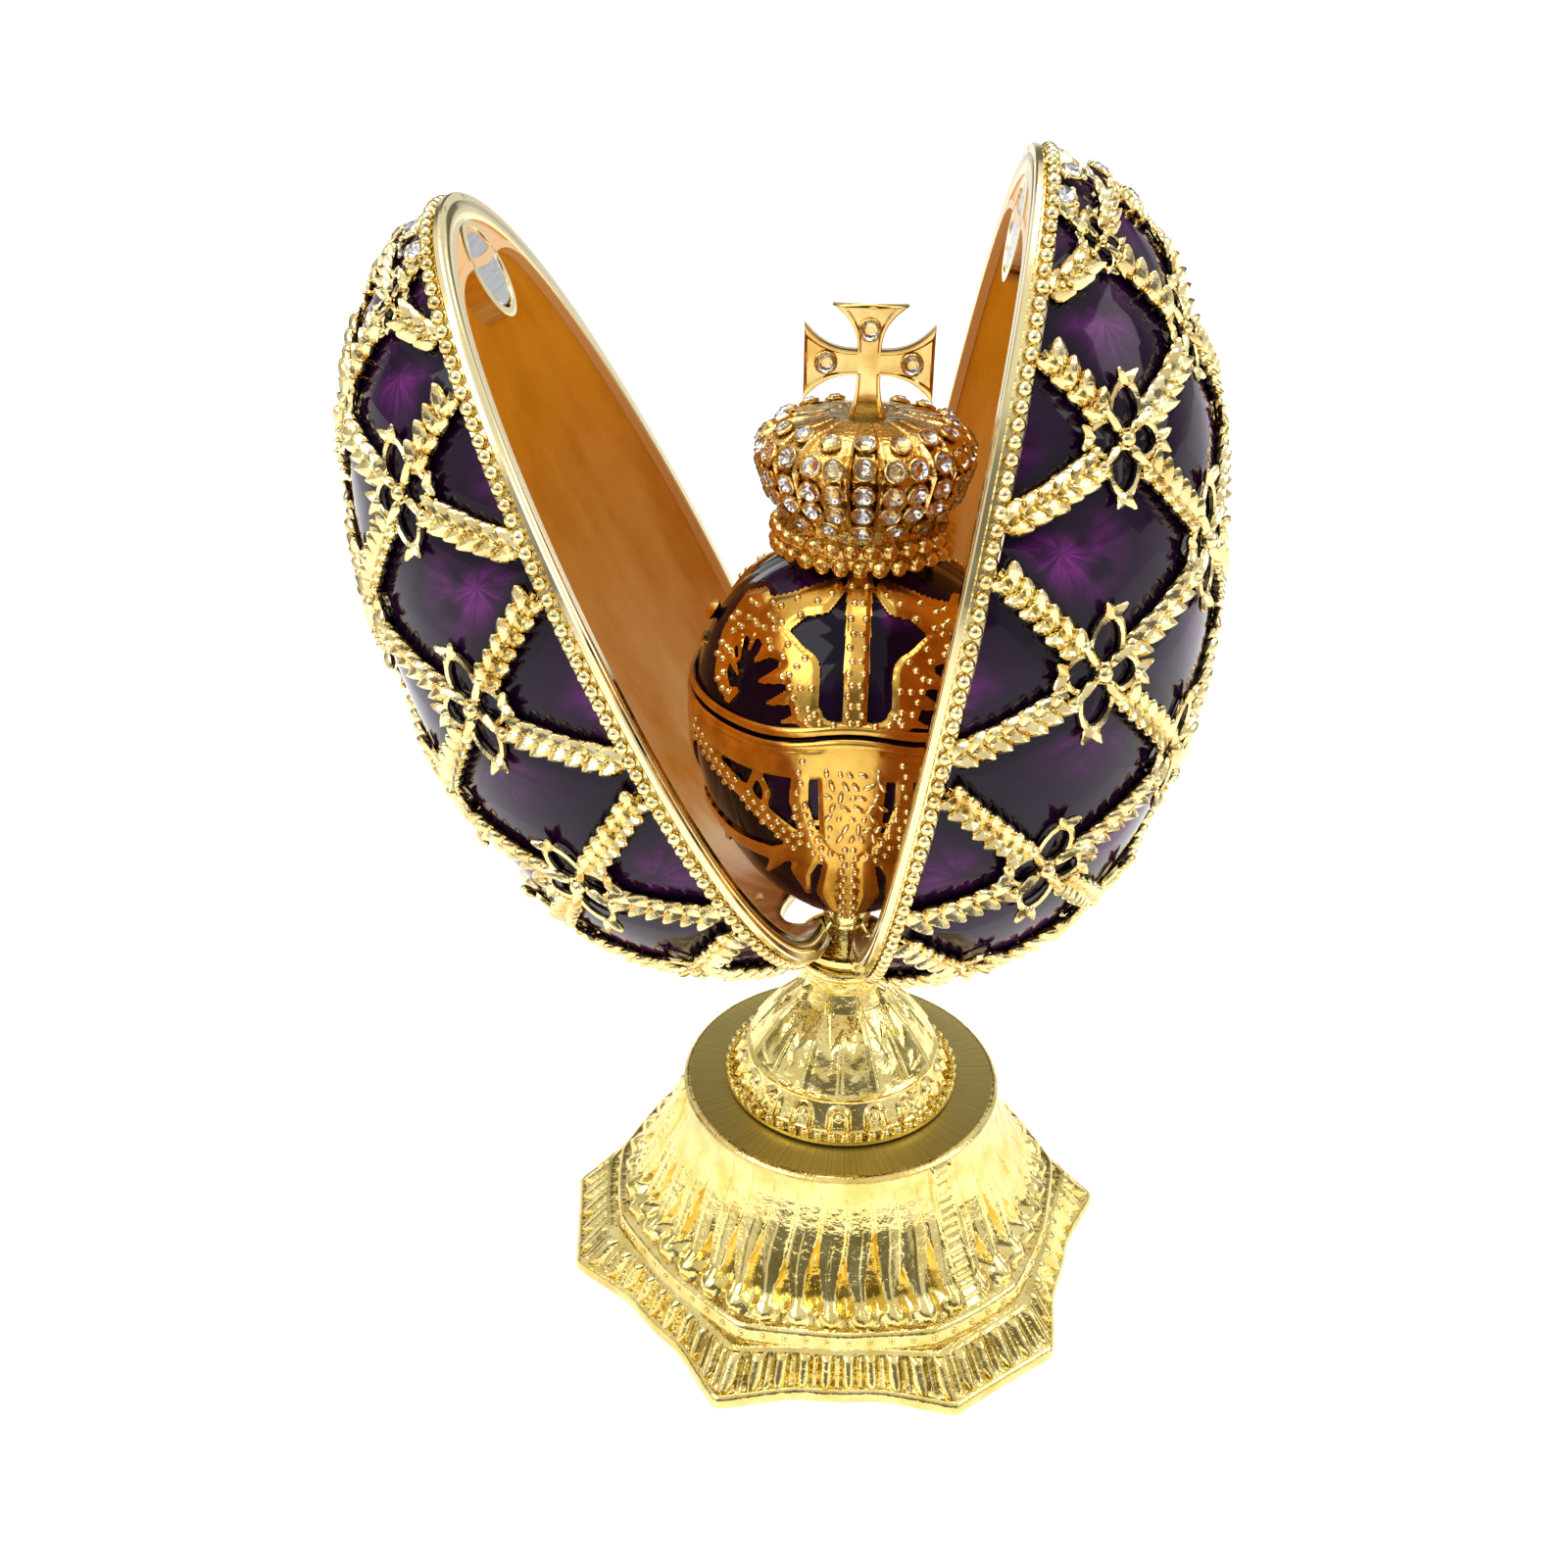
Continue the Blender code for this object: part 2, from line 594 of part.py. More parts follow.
def make_right_half(material):
    """The right half of the outer egg in its closed place, hollow and lugged."""
    half = add_object("right_half", lattice_egg(), material)
    combine(half, add_object("rim", rim_plate()), "UNION")
    hollow = egg_body(-EGG_WALL, HOLLOW_ROWS, HOLLOW_COLUMNS)
    combine(half, add_object("hollow", hollow), "DIFFERENCE")
    hole = cylinder(BASE_HOLE_RADIUS, BASE_HOLE_DEPTH, (0.0, 0.0, EGG_BOTTOM_HEIGHT),
                    (0.0, 0.0, 1.0), MAGNET_SIDES)
    combine(half, add_object("hole", hole), "DIFFERENCE")

    centre = magnet_centre()
    bezel_radius = MAGNET_RADIUS + PIECE_GAP + BEZEL_WALL
    bezel_start = -EGG_WALL
    web_low = (bezel_start, -0.6 * bezel_radius, centre.z + 0.5 * bezel_radius)
    web_high = (0.9 * BEZEL_DEPTH, 0.6 * bezel_radius, centre.z + MAGNET_DROP - 0.6 * EGG_WALL)
    combine(half, add_object("web", box(web_low, web_high)), "UNION")
    bezel_middle = Vector(((bezel_start + BEZEL_DEPTH) / 2.0, 0.0, centre.z))
    bezel = cylinder(
        bezel_radius, BEZEL_DEPTH - bezel_start, bezel_middle, (1.0, 0.0, 0.0), MAGNET_SIDES)
    combine(half, add_object("bezel", bezel), "UNION")
    seat_depth = MAGNET_THICKNESS + MAGNET_RECESS + PIECE_GAP
    seat = cylinder(
        MAGNET_RADIUS + PIECE_GAP, 2.0 * seat_depth, centre, (1.0, 0.0, 0.0), MAGNET_SIDES)
    combine(half, add_object("seat", seat), "DIFFERENCE")

    lug_top = egg_outline(math.radians(20.0), -0.5 * EGG_WALL)[1]
    for side in (-1.0, 1.0):
        near = side * (KNUCKLE_WIDTH / 2.0 + PIECE_GAP)
        plate = lug(near, near + side * LUG_WIDTH, lug_top)
        combine(half, add_object("lug", plate), "UNION")
    bore_length = 4.0 * (KNUCKLE_WIDTH + LUG_WIDTH)
    bore = cylinder(PIN_RADIUS + PIECE_GAP, bore_length, (PIVOT_OFFSET, 0.0, PIVOT_HEIGHT),
                    (0.0, 1.0, 0.0))
    combine(half, add_object("bore", bore), "DIFFERENCE")
    for place, outward in tip_stone_places():
        combine(half, add_object("stone_seat", stone_seat(place, outward)), "DIFFERENCE")
    reach = 2.0 * EGG_HEIGHT
    other_side = box((-reach, -reach, 0.0), (RIM_GAP / 2.0, reach, 2.0 * reach))
    combine(half, add_object("other_side", other_side), "DIFFERENCE")
    return half


def make_magnet(name, material):
    """The disc magnet of the right half, in its closed place."""
    middle = magnet_centre()
    middle.x += MAGNET_RECESS + MAGNET_THICKNESS / 2.0
    disc = cylinder(MAGNET_RADIUS, MAGNET_THICKNESS, middle, (1.0, 0.0, 0.0), MAGNET_SIDES)
    return add_object(name, disc, material)


# Small egg

def small_egg_radius(height):
    """The small egg's outer radius at a height."""
    top = LID_TOP_HEIGHT + 0.0006
    bottom = CUP_BOTTOM_HEIGHT - 0.0004
    share = min(max((height - bottom) / (top - bottom), 0.0), 1.0)
    turn = math.acos(1.0 - 2.0 * share)
    return SMALL_EGG_RADIUS * math.sin(turn) * (1.0 + SMALL_EGG_TAPER * math.cos(turn))


def seam_height(angle):
    """The wavy seam: a low crest towards the viewer and one at the back."""
    return SEAM_HEIGHT + SEAM_WAVE * max(0.0, math.cos(2.0 * angle + math.pi)) ** 4


def wave_height(row, angle):
    """A row's height, moved with the seam by the share that the row names."""
    return row[0] + row[3] * (seam_height(angle) - SEAM_HEIGHT)


def strap_radius(row, column, angle):
    """A row's radius, with the straps that run up the small egg."""
    spacing = SMALL_EGG_COLUMNS // STRAP_COUNT
    return row[1] + (row[2] if (column - STRAP_FIRST_COLUMN) % spacing == 0 else 0.0)


def make_cup(material):
    """The footed cup of the small egg, hollow, with a ridge under its wavy rim."""
    rim = SEAM_HEIGHT - PIECE_GAP / 2.0
    ridge = rim - SEAM_RIDGE_HEIGHT
    floor = CUP_BOTTOM_HEIGHT + CUP_FLOOR
    rows = [(CUP_BOTTOM_HEIGHT, STEM_RADIUS + 0.0010, 0.0, 0.0)]
    for share in (0.05, 0.2, 0.45, 0.75):
        height = blend(CUP_BOTTOM_HEIGHT, ridge, share)
        radius = max(small_egg_radius(height), STEM_RADIUS + 0.0010)
        rows.append((height, radius, STRAP_LIFT, share ** 4))
    rows.append((ridge, small_egg_radius(ridge), 0.0, 1.0))
    rows.append((ridge, small_egg_radius(ridge) + SEAM_RIDGE_LIFT, 0.0, 1.0))
    rows.append((rim, small_egg_radius(rim) + SEAM_RIDGE_LIFT, 0.0, 1.0))
    rows.append((rim, small_egg_radius(rim) - SMALL_EGG_WALL, 0.0, 1.0))
    for share in (0.62, 0.32, 0.08):
        height = blend(floor, rim, share)
        radius = max(small_egg_radius(height) - SMALL_EGG_WALL, 0.0012)
        rows.append((height, radius, 0.0, share ** 4))
    rows.append((floor, 0.35 * small_egg_radius(floor), 0.0, 0.0))
    shape = turned(rows, SMALL_EGG_COLUMNS, strap_radius, wave_height)
    return add_object("small_egg_cup", shape, material)


def make_lid(material):
    """The lid of the small egg, hollow, with a ridge over its wavy rim."""
    rim = SEAM_HEIGHT + PIECE_GAP / 2.0
    ridge = rim + SEAM_RIDGE_HEIGHT
    ceiling = LID_TOP_HEIGHT - SMALL_EGG_WALL
    rows = [(ceiling, 0.0040, 0.0, 0.0)]
    for share in (0.92, 0.6, 0.25):
        height = blend(rim, ceiling, share)
        rows.append((height, small_egg_radius(height) - SMALL_EGG_WALL, 0.0, (1.0 - share) ** 4))
    rows.append((rim, small_egg_radius(rim) - SMALL_EGG_WALL, 0.0, 1.0))
    rows.append((rim, small_egg_radius(rim) + SEAM_RIDGE_LIFT, 0.0, 1.0))
    rows.append((ridge, small_egg_radius(ridge) + SEAM_RIDGE_LIFT, 0.0, 1.0))
    rows.append((ridge, small_egg_radius(ridge), 0.0, 1.0))
    for share in (0.25, 0.55, 0.82):
        height = blend(ridge, LID_TOP_HEIGHT, share)
        rows.append((height, small_egg_radius(height), STRAP_LIFT, (1.0 - share) ** 4))
    rows.append((LID_TOP_HEIGHT, LID_CROWN_RADIUS, 0.0, 0.0))
    shape = turned(rows, SMALL_EGG_COLUMNS, strap_radius, wave_height)
    return add_object("small_egg_lid", shape, material)


# Crown and cross

def crown_rows():
    """Rows of (height, radius, arch lift) of the crown, from its beaded band."""
    base = LID_TOP_HEIGHT + PIECE_GAP
    return [
        (base, CROWN_BAND_RADIUS - 0.0012, 0.0),
        (base + 0.2 * CROWN_BAND_HEIGHT, CROWN_BAND_RADIUS, 0.0),
        (base + 0.8 * CROWN_BAND_HEIGHT, CROWN_BAND_RADIUS, 0.0),
        (base + CROWN_BAND_HEIGHT, CROWN_WAIST_RADIUS, 0.0),
        (blend(base + CROWN_BAND_HEIGHT, base + CROWN_BULGE_HEIGHT, 0.5),
         blend(CROWN_WAIST_RADIUS, CROWN_RADIUS, 0.62), ARCH_LIFT),
        (base + CROWN_BULGE_HEIGHT, CROWN_RADIUS, ARCH_LIFT),
        (blend(base + CROWN_BULGE_HEIGHT, base + CROWN_HEIGHT, 0.5),
         CROWN_SHOULDER_RADIUS, ARCH_LIFT),
        (blend(base + CROWN_BULGE_HEIGHT, base + CROWN_HEIGHT, 0.84), CROWN_TOP_RADIUS, ARCH_LIFT),
        (base + CROWN_HEIGHT, 0.55 * CROWN_TOP_RADIUS, 0.3 * ARCH_LIFT),
        (base + CROWN_HEIGHT - CROWN_DISH_DEPTH, 0.25 * CROWN_TOP_RADIUS, 0.0),
    ]


def arch_wave(column):
    """Relief round the crown: an arch, a groove, a full panel and a groove."""
    return (1.0, -0.6, 0.4, -0.6)[column % 4]


def cross_outline():
    """The cross pattee's outline in the X-Z plane about its centre."""
    waist = CROSS_WAIST_HALF_WIDTH
    end = CROSS_END_HALF_WIDTH
    base_reach = CROSS_CENTRE_HEIGHT - (LID_TOP_HEIGHT + PIECE_GAP + CROWN_HEIGHT) + 0.0012
    arms = ((CROSS_SIDE_REACH, 0.0, end), (CROSS_TOP_REACH, math.pi / 2.0, end),
            (CROSS_SIDE_REACH, math.pi, end), (base_reach, 1.5 * math.pi, 0.6 * end))
    points = []
    for reach, direction, half_end in arms:
        for along, aside in ((1.15 * waist, -waist), (0.55 * reach, -blend(waist, half_end, 0.25)),
                             (0.98 * reach, -half_end), (reach, -0.85 * half_end),
                             (0.96 * reach, 0.0), (reach, 0.85 * half_end),
                             (0.98 * reach, half_end), (0.55 * reach, blend(waist, half_end, 0.25)),
                             (1.15 * waist, waist)):
            across = Vector((along, aside))
            across.rotate(Matrix.Rotation(direction, 2))
            points.append(across)
    return points


def cross_body():
    """The flat cross that stands on the crown, facing the viewer."""
    shape = bmesh.new()
    half = CROSS_THICKNESS / 2.0
    front = [shape.verts.new((p.x, -half, CROSS_CENTRE_HEIGHT + p.y)) for p in cross_outline()]
    back = [shape.verts.new((p.x, half, CROSS_CENTRE_HEIGHT + p.y)) for p in cross_outline()]
    close_rings(shape, [front, back])
    bmesh.ops.remove_doubles(shape, verts=shape.verts, dist=1e-5)
    bmesh.ops.recalc_face_normals(shape, faces=shape.faces)
    return shape


def cross_stone_places():
    """(centre, outward direction) of the three stones on the cross's front."""
    face = -CROSS_THICKNESS / 2.0
    side = 0.66 * CROSS_SIDE_REACH
    top = 0.58 * CROSS_TOP_REACH
    front = Vector((0.0, -1.0, 0.0))
    spots = ((0.0, top), (-side, 0.0), (side, 0.0))
    return [(Vector((x, face, CROSS_CENTRE_HEIGHT + z)), front) for x, z in spots]


def crown_stone_places():
    """(centre, outward direction) of the stone on each arch of the crown."""
    places = []
    height = LID_TOP_HEIGHT + PIECE_GAP + CROWN_BULGE_HEIGHT
    for index in range(ARCH_COUNT):
        angle = 2.0 * math.pi * index / ARCH_COUNT - math.pi / 2.0
        outward = Vector((math.cos(angle), math.sin(angle), 0.0))
        centre = outward * (CROWN_RADIUS + ARCH_LIFT)
        centre.z = height
        places.append((centre, outward))
    return places


def make_crown(material):
    """The arched crown with its beaded band, carrying the cross."""
    def radius_at(row, column, angle):
        return row[1] + row[2] * arch_wave(column)
    crown = add_object("crown_and_cross", turned(crown_rows(), CROWN_COLUMNS, radius_at), material)
    combine(crown, add_object("cross", cross_body()), "UNION")
    for centre, outward in cross_stone_places() + crown_stone_places():
        combine(crown, add_object("stone_seat", stone_seat(centre, outward)), "DIFFERENCE")
    return crown


# Stones

def stone_seat(centre, outward):
    """A cutter for the round seat that a stone sits in."""
    return cylinder(STONE_RADIUS + PIECE_GAP, 2.0 * (STONE_SEAT_DEPTH + PIECE_GAP),
                    centre, outward, STONE_SIDES)


def make_stone(name, centre, outward, material):
    """A round cut stone with a flat table, sunk a little into its seat."""
    shape = bmesh.new()
    rings = []
    for height, radius in ((-STONE_SEAT_DEPTH, STONE_RADIUS),
                           (STONE_HEIGHT - STONE_SEAT_DEPTH, 0.6 * STONE_RADIUS)):
        ring = []
        for side in range(STONE_SIDES):
            angle = 2.0 * math.pi * side / STONE_SIDES
            point = (radius * math.cos(angle), radius * math.sin(angle), height)
            ring.append(shape.verts.new(point))
        rings.append(ring)
    close_rings(shape, rings)
    bmesh.ops.recalc_face_normals(shape, faces=shape.faces)
    turn = Vector((0.0, 0.0, 1.0)).rotation_difference(outward)
    bmesh.ops.transform(
        shape, matrix=Matrix.Translation(centre) @ turn.to_matrix().to_4x4(), verts=shape.verts)
    return add_object(name, shape, material)


# Assembly

def hinge_frame(name, side, open_angle):
    """An empty on a half's pivot, leaning outwards by the open angle."""
    frame = bpy.data.objects.new(name, None)
    bpy.context.collection.objects.link(frame)
    frame.location = (side * PIVOT_OFFSET, 0.0, PIVOT_HEIGHT)
    frame.rotation_euler = (0.0, side * open_angle, 0.0)
    return frame


def hang(item, frame, side):
    """Move a piece's mesh to its hinge frame, mirrored for the left half."""
    shift = Matrix.Translation((-PIVOT_OFFSET, 0.0, -PIVOT_HEIGHT))
    item.data.transform(shift)
    if side < 0:
        item.data.transform(Matrix.Diagonal((-1.0, 1.0, 1.0, 1.0)))
        item.data.flip_normals()
    item.parent = frame


def mirrored_copy(item, name):
    """Another object with its own copy of the mesh, before it is mirrored."""
    copy = bpy.data.objects.new(name, item.data.copy())
    bpy.context.collection.objects.link(copy)
    return copy


def main():
    """Build the whole trinket box."""
    clear_scene()
    gold = finish("polished_gold", (0.86, 0.66, 0.28), 0.18, 1.0)
    egg_gold = finish("enamelled_casting", (0.42, 0.24, 0.36), 0.25, 0.6)
    steel = finish("magnet_steel", (0.62, 0.63, 0.64), 0.25, 1.0)
    crystal = finish("clear_crystal", (0.93, 0.95, 0.97), 0.03, 0.0)

    make_foot(gold)
    make_dome(gold)
    make_bracket(gold)
    make_cup(egg_gold)
    make_lid(egg_gold)
    make_crown(gold)
    for index, (centre, outward) in enumerate(cross_stone_places()):
        make_stone(f"cross_stone_{index + 1}", centre, outward, crystal)
    for index, (centre, outward) in enumerate(crown_stone_places()):
        make_stone(f"crown_stone_{index + 1}", centre, outward, crystal)

    right_frame = hinge_frame("right_hinge_axis", 1.0, RIGHT_OPEN_ANGLE)
    left_frame = hinge_frame("left_hinge_axis", -1.0, LEFT_OPEN_ANGLE)
    right_pieces = [make_right_half(egg_gold), make_magnet("right_magnet", steel)]
    for index, (centre, outward) in enumerate(tip_stone_places()):
        right_pieces.append(make_stone(f"right_tip_stone_{index + 1}", centre, outward, crystal))
    for piece in right_pieces:
        twin = mirrored_copy(piece, piece.name.replace("right", "left"))
        hang(twin, left_frame, -1.0)
        hang(piece, right_frame, 1.0)
    make_pin("right_hinge_pin", 1.0, steel)
    make_pin("left_hinge_pin", -1.0, steel)


main()
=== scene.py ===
"""Looks of the jewelled egg trinket box: castings, enamel, stones and light.

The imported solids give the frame. Each operator builds one piece, or one group
of like pieces, around them. Units are metres, +Z is up, and the viewer stands
on the -Y side. Pieces of the outer halves are modelled on the closed right
half and then carried to both open places.
"""
import json
import math
import random

import bmesh
import bpy
from bpy.props import FloatProperty, FloatVectorProperty, IntProperty, PointerProperty
from bpy.types import Operator, Panel, PropertyGroup
from mathutils import Matrix, Vector


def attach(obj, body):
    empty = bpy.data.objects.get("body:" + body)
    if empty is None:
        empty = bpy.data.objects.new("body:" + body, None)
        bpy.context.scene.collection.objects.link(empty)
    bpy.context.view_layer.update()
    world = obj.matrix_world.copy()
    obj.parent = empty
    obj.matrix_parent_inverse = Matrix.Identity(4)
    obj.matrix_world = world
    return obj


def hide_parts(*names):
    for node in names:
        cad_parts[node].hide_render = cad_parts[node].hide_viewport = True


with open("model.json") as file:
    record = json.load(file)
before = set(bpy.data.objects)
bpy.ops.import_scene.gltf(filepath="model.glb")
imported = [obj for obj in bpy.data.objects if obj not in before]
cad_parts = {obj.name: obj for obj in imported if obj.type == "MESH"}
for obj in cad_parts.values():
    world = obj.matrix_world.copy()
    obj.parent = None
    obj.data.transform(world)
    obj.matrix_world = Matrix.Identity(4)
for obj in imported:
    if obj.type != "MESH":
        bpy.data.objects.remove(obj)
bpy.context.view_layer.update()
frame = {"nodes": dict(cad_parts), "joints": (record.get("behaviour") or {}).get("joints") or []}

bl_info = {
    "name": "Jewelled Egg Trinket Box",
    "version": (1, 0, 0),
    "blender": (4, 5, 0),
    "location": "View3D > Sidebar > Egg Box",
    "description": "Builds the castings, enamel, stones and studio of a jewelled egg box",
    "category": "Object",
}

SIDES = ("right", "left")


# Sizes and colours that a user would change

def length(name, default, description):
    """A size in metres."""
    return FloatProperty(
        name=name, description=description, default=default, precision=5, unit="LENGTH")


def share(name, default, description):
    """A plain number, such as a share of another size."""
    return FloatProperty(name=name, description=description, default=default, precision=4)


def count(name, default, description):
    """How many times something repeats."""
    return IntProperty(name=name, description=description, default=default, min=1)


def colour(name, default, description):
    """A linear RGB colour."""
    return FloatVectorProperty(
        name=name, description=description, default=default, size=3, min=0.0, max=1.0,
        subtype="COLOR")


class OuterEggSizes(PropertyGroup):
    """Outline of the outer egg when closed, and of what is on it."""

    bottom: length("Bottom height", 0.0566, "Height of the closed egg's lowest point")
    height: length("Height", 0.110, "Height of the closed egg")
    radius: length("Radius", 0.0349, "Radius that the outline starts from")
    taper: share("Taper", 0.275, "How much fuller the lower half of the egg is")
    fullness: share("Tip fullness", 0.359, "How much the outline is filled out near the tip")
    wall: length("Wall", 0.0024, "Thickness of the cast wall")
    gap: length("Rim gap", 0.0004, "Gap between the two rims when the egg is shut")
    hole: length("Base hole radius", 0.0077, "Radius of the hole round the small egg's stem")
    columns: count("Lattice columns", 6, "Columns of half cells on each half")
    lattice_start: share("Lattice start", 0.300, "Share of the outline's turn at level nought")
    lattice_step: share("Lattice step", 0.0775, "Share of the outline's turn for each level")
    band_width: length("Band width", 0.0038, "Width of a leaf band of the lattice")
    band_lift: length("Band lift", 0.0010, "Height of a leaf band over the enamel")
    leaf: length("Leaf length", 0.0036, "Length of a leaf on the bands")
    rim_width: length("Rim width", 0.0031, "Width of the moulding beside the rim")
    bead: length("Bead radius", 0.00092, "Radius of the beads along the rim")
    magnet: length("Magnet radius", 0.0048, "Radius of the disc magnets")
    magnet_drop: length("Magnet drop", 0.0083, "Distance from the tip to the magnet's centre")


class SmallEggSizes(PropertyGroup):
    """Outline of the small footed egg."""

    bottom: length("Bottom height", 0.0638, "Height of the cup's lower end")
    seam: length("Seam height", 0.0994, "Height of the seam between cup and lid")
    top: length("Top height", 0.1182, "Height of the lid's upper end")
    radius: length("Radius", 0.0224, "Radius that the outline starts from")
    taper: share("Taper", -0.125, "How much fuller the upper half is")
    wall: length("Wall", 0.0018, "Thickness of the cast wall")
    wave: length("Seam wave", 0.0018, "Rise of the seam's crests at the front and back")
    relief: length("Relief", 0.0007, "Height of the gold relief over the enamel")


class CrownSizes(PropertyGroup):
    """Outline of the crown and its cross."""

    base: length("Base height", 0.1185, "Height of the crown's lower end")
    band_radius: length("Band radius", 0.0112, "Radius of the beaded band")
    band_height: length("Band height", 0.0034, "Height of the beaded band")
    waist: length("Waist radius", 0.0092, "Radius of the waist over the band")
    radius: length("Crown radius", 0.0134, "Radius of the crown where it bulges most")
    bulge: length("Bulge height", 0.0128, "Height over the base of the widest place")
    shoulder: length("Shoulder radius", 0.0121, "Radius halfway from the bulge to the top")
    lip: length("Top radius", 0.0088, "Radius where the top rounds over")
    height: length("Crown height", 0.0176, "Height of the crown without the cross")
    arches: count("Arches", 8, "Arches round the crown")
    cross_centre: length("Cross centre", 0.1424, "Height of the middle of the cross")
    cross_side: length("Side reach", 0.0081, "Reach of the cross's side arms")
    cross_top: length("Top reach", 0.0070, "Reach of the cross's top arm")
    cross_end: length("End half width", 0.0047, "Half the width of an arm's flared end")
    cross_waist: length("Waist half width", 0.0015, "Half the width of an arm at the middle")
    cross_depth: length("Cross thickness", 0.0024, "Thickness of the cross")
    stone: length("Stone radius", 0.00128, "Radius of the set stones")


class StandSizes(PropertyGroup):
    """Outline of the foot, the dome, the neck and the bracket."""

    foot_height: length("Foot height", 0.0308, "Height of the foot's flat ring")
    foot_radius: length("Foot radius", 0.0385, "Radius of the foot's sides")
    reach: length("Corner reach", 0.0053, "How far the foot's corners stand out")
    edge: length("Edge height", 0.0024, "Height of the smooth lower edge")
    tongue: length("Tongue band height", 0.0046, "Height of the tongue moulding")
    tongue_inset: length("Tongue inset", 0.0032, "How far the tongue moulding leans in")
    step: length("Step height", 0.0030, "Height of the plain step band")
    step_radius: length("Step radius", 0.0348, "Radius of the plain step band")
    skirt_radius: length("Skirt radius", 0.0331, "Radius of the leaf skirt's lower end")
    ring_radius: length("Ring radius", 0.0245, "Radius of the flat ring")
    turn: share("Foot turn", math.radians(52.0), "Angle of a broad lobe towards the viewer")
    leaves: count("Leaves", 42, "Leaves round the skirt")
    tongues: count("Tongues", 70, "Tongues round the moulding")
    dome_radius: length("Dome radius", 0.0182, "Radius of the dome's lower edge")
    ridge_radius: length("Ridge radius", 0.0142, "Radius of the ridge round the dome")
    shoulder_radius: length("Shoulder radius", 0.0098, "Radius where the dome turns to neck")
    neck_radius: length("Neck radius", 0.0056, "Radius of the neck")
    neck_top: length("Neck top", 0.0540, "Height of the neck's upper end")
    collar_radius: length("Collar radius", 0.0070, "Radius of the rolled collar")
    dish_radius: length("Dish radius", 0.0072, "Radius of the bracket's dish")
    stem_radius: length("Stem radius", 0.0023, "Radius of the small egg's stem")


class FinishColours(PropertyGroup):
    """Colours of the box's finishes, with the painted shade and the painted glow laid on them."""

    pale_gold: colour("Pale gold", (0.94, 0.80, 0.43), "Champagne gold of the outer egg")
    # Painted shade of the outer egg's hollows, laid in noise patches rather than in the hollows
    pale_gold_painted_shade: colour("Pale gold, deep", (0.70, 0.50, 0.18), "Its hollows")
    stand_gold: colour("Stand gold", (0.93, 0.76, 0.31), "Yellow gold of the stand")
    # Painted shade of the stand's hollows, laid in noise patches rather than in the hollows
    stand_gold_painted_shade: colour("Stand gold, deep", (0.74, 0.55, 0.14), "Its hollows")
    warm_gold: colour("Warm gold", (0.90, 0.66, 0.25), "Gold of the small egg and the crown")
    amber_gold: colour("Amber gold", (0.86, 0.50, 0.10), "Smooth ground of the small egg's relief")
    # Painted shade of the small egg's and crown's hollows, laid in noise patches rather than in the hollows
    warm_gold_painted_shade: colour("Warm gold, deep", (0.62, 0.35, 0.07), "Its hollows")
    ring_gold: colour("Ring gold", (0.66, 0.54, 0.18), "Matte gold of the foot's flat ring")
    lacquer: colour("Lacquer", (1.0, 0.47, 0.020), "Amber lacquer inside the halves")
    lacquer_low: colour("Lacquer, low", (1.0, 0.74, 0.36), "Paler lacquer near the base")
    lacquer_deep: colour("Lacquer, deep", (0.72, 0.29, 0.012), "Darker streaks of the lacquer")
    enamel: colour("Enamel", (0.0060, 0.0016, 0.0100), "Dark aubergine enamel")
    # Painted glow: light off the foil under the enamel, painted into the cells' colour
    enamel_painted_glow: colour("Enamel glow", (0.27, 0.024, 0.29), "Where light comes through it")
    steel: colour("Steel", (0.63, 0.64, 0.65), "Nickel of the magnets and foils")


SETTINGS = {
    "egg_outer": OuterEggSizes,
    "egg_small": SmallEggSizes,
    "egg_crown": CrownSizes,
    "egg_stand": StandSizes,
    "egg_colours": FinishColours,
}


# Shaping helpers

def blend(start, end, part):
    """The value that lies a share of the way from start to end."""
    return start + (end - start) * part


def smooth_step(low, high, value):
    """0 below low, 1 above high and an S-shaped rise between."""
    part = min(max((value - low) / (high - low), 0.0), 1.0)
    return part * part * (3.0 - 2.0 * part)


def hump(value, centre, width):
    """1 at the centre, falling smoothly to 0 a width away."""
    part = min(abs(value - centre) / width, 1.0)
    return (1.0 - part * part) ** 2


def sheet(columns, rows, place, uv_at=None):
    """A grid whose corners a function places from a share across and a share up."""
    shape = bmesh.new()
    bmesh.ops.create_grid(shape, x_segments=columns, y_segments=rows, size=0.5)
    if uv_at:
        layer = shape.loops.layers.uv.new("Pattern")
        for face in shape.faces:
            for loop in face.loops:
                loop[layer].uv = uv_at(loop.vert.co.x + 0.5, loop.vert.co.y + 0.5)
    for vert in shape.verts:
        vert.co = place(vert.co.x + 0.5, vert.co.y + 0.5)
    return shape


def closed_body(shape, cap=True):
    """Merge a sheet's meeting edges, cap its ends and turn its faces outwards."""
    bmesh.ops.remove_doubles(shape, verts=shape.verts, dist=2e-6)
    bmesh.ops.dissolve_degenerate(shape, edges=shape.edges, dist=1e-7)
    if cap:
        open_edges = [edge for edge in shape.edges if edge.is_boundary]
        bmesh.ops.holes_fill(shape, edges=open_edges, sides=0)
    bmesh.ops.recalc_face_normals(shape, faces=shape.faces)
    return shape


def ring_rows(points):
    """Rows of (height, radius, zone, share through the zone) from a profile.

    Each point is (height, radius, rows up to the next point).
    """
    rows = []
    for zone, (low, high) in enumerate(zip(points, points[1:])):
        for index in range(low[2]):
            part = index / low[2]
            rows.append((blend(low[0], high[0], part), blend(low[1], high[1], part), zone, part))
    rows.append((points[-1][0], points[-1][1], len(points) - 2, 1.0))
    return rows


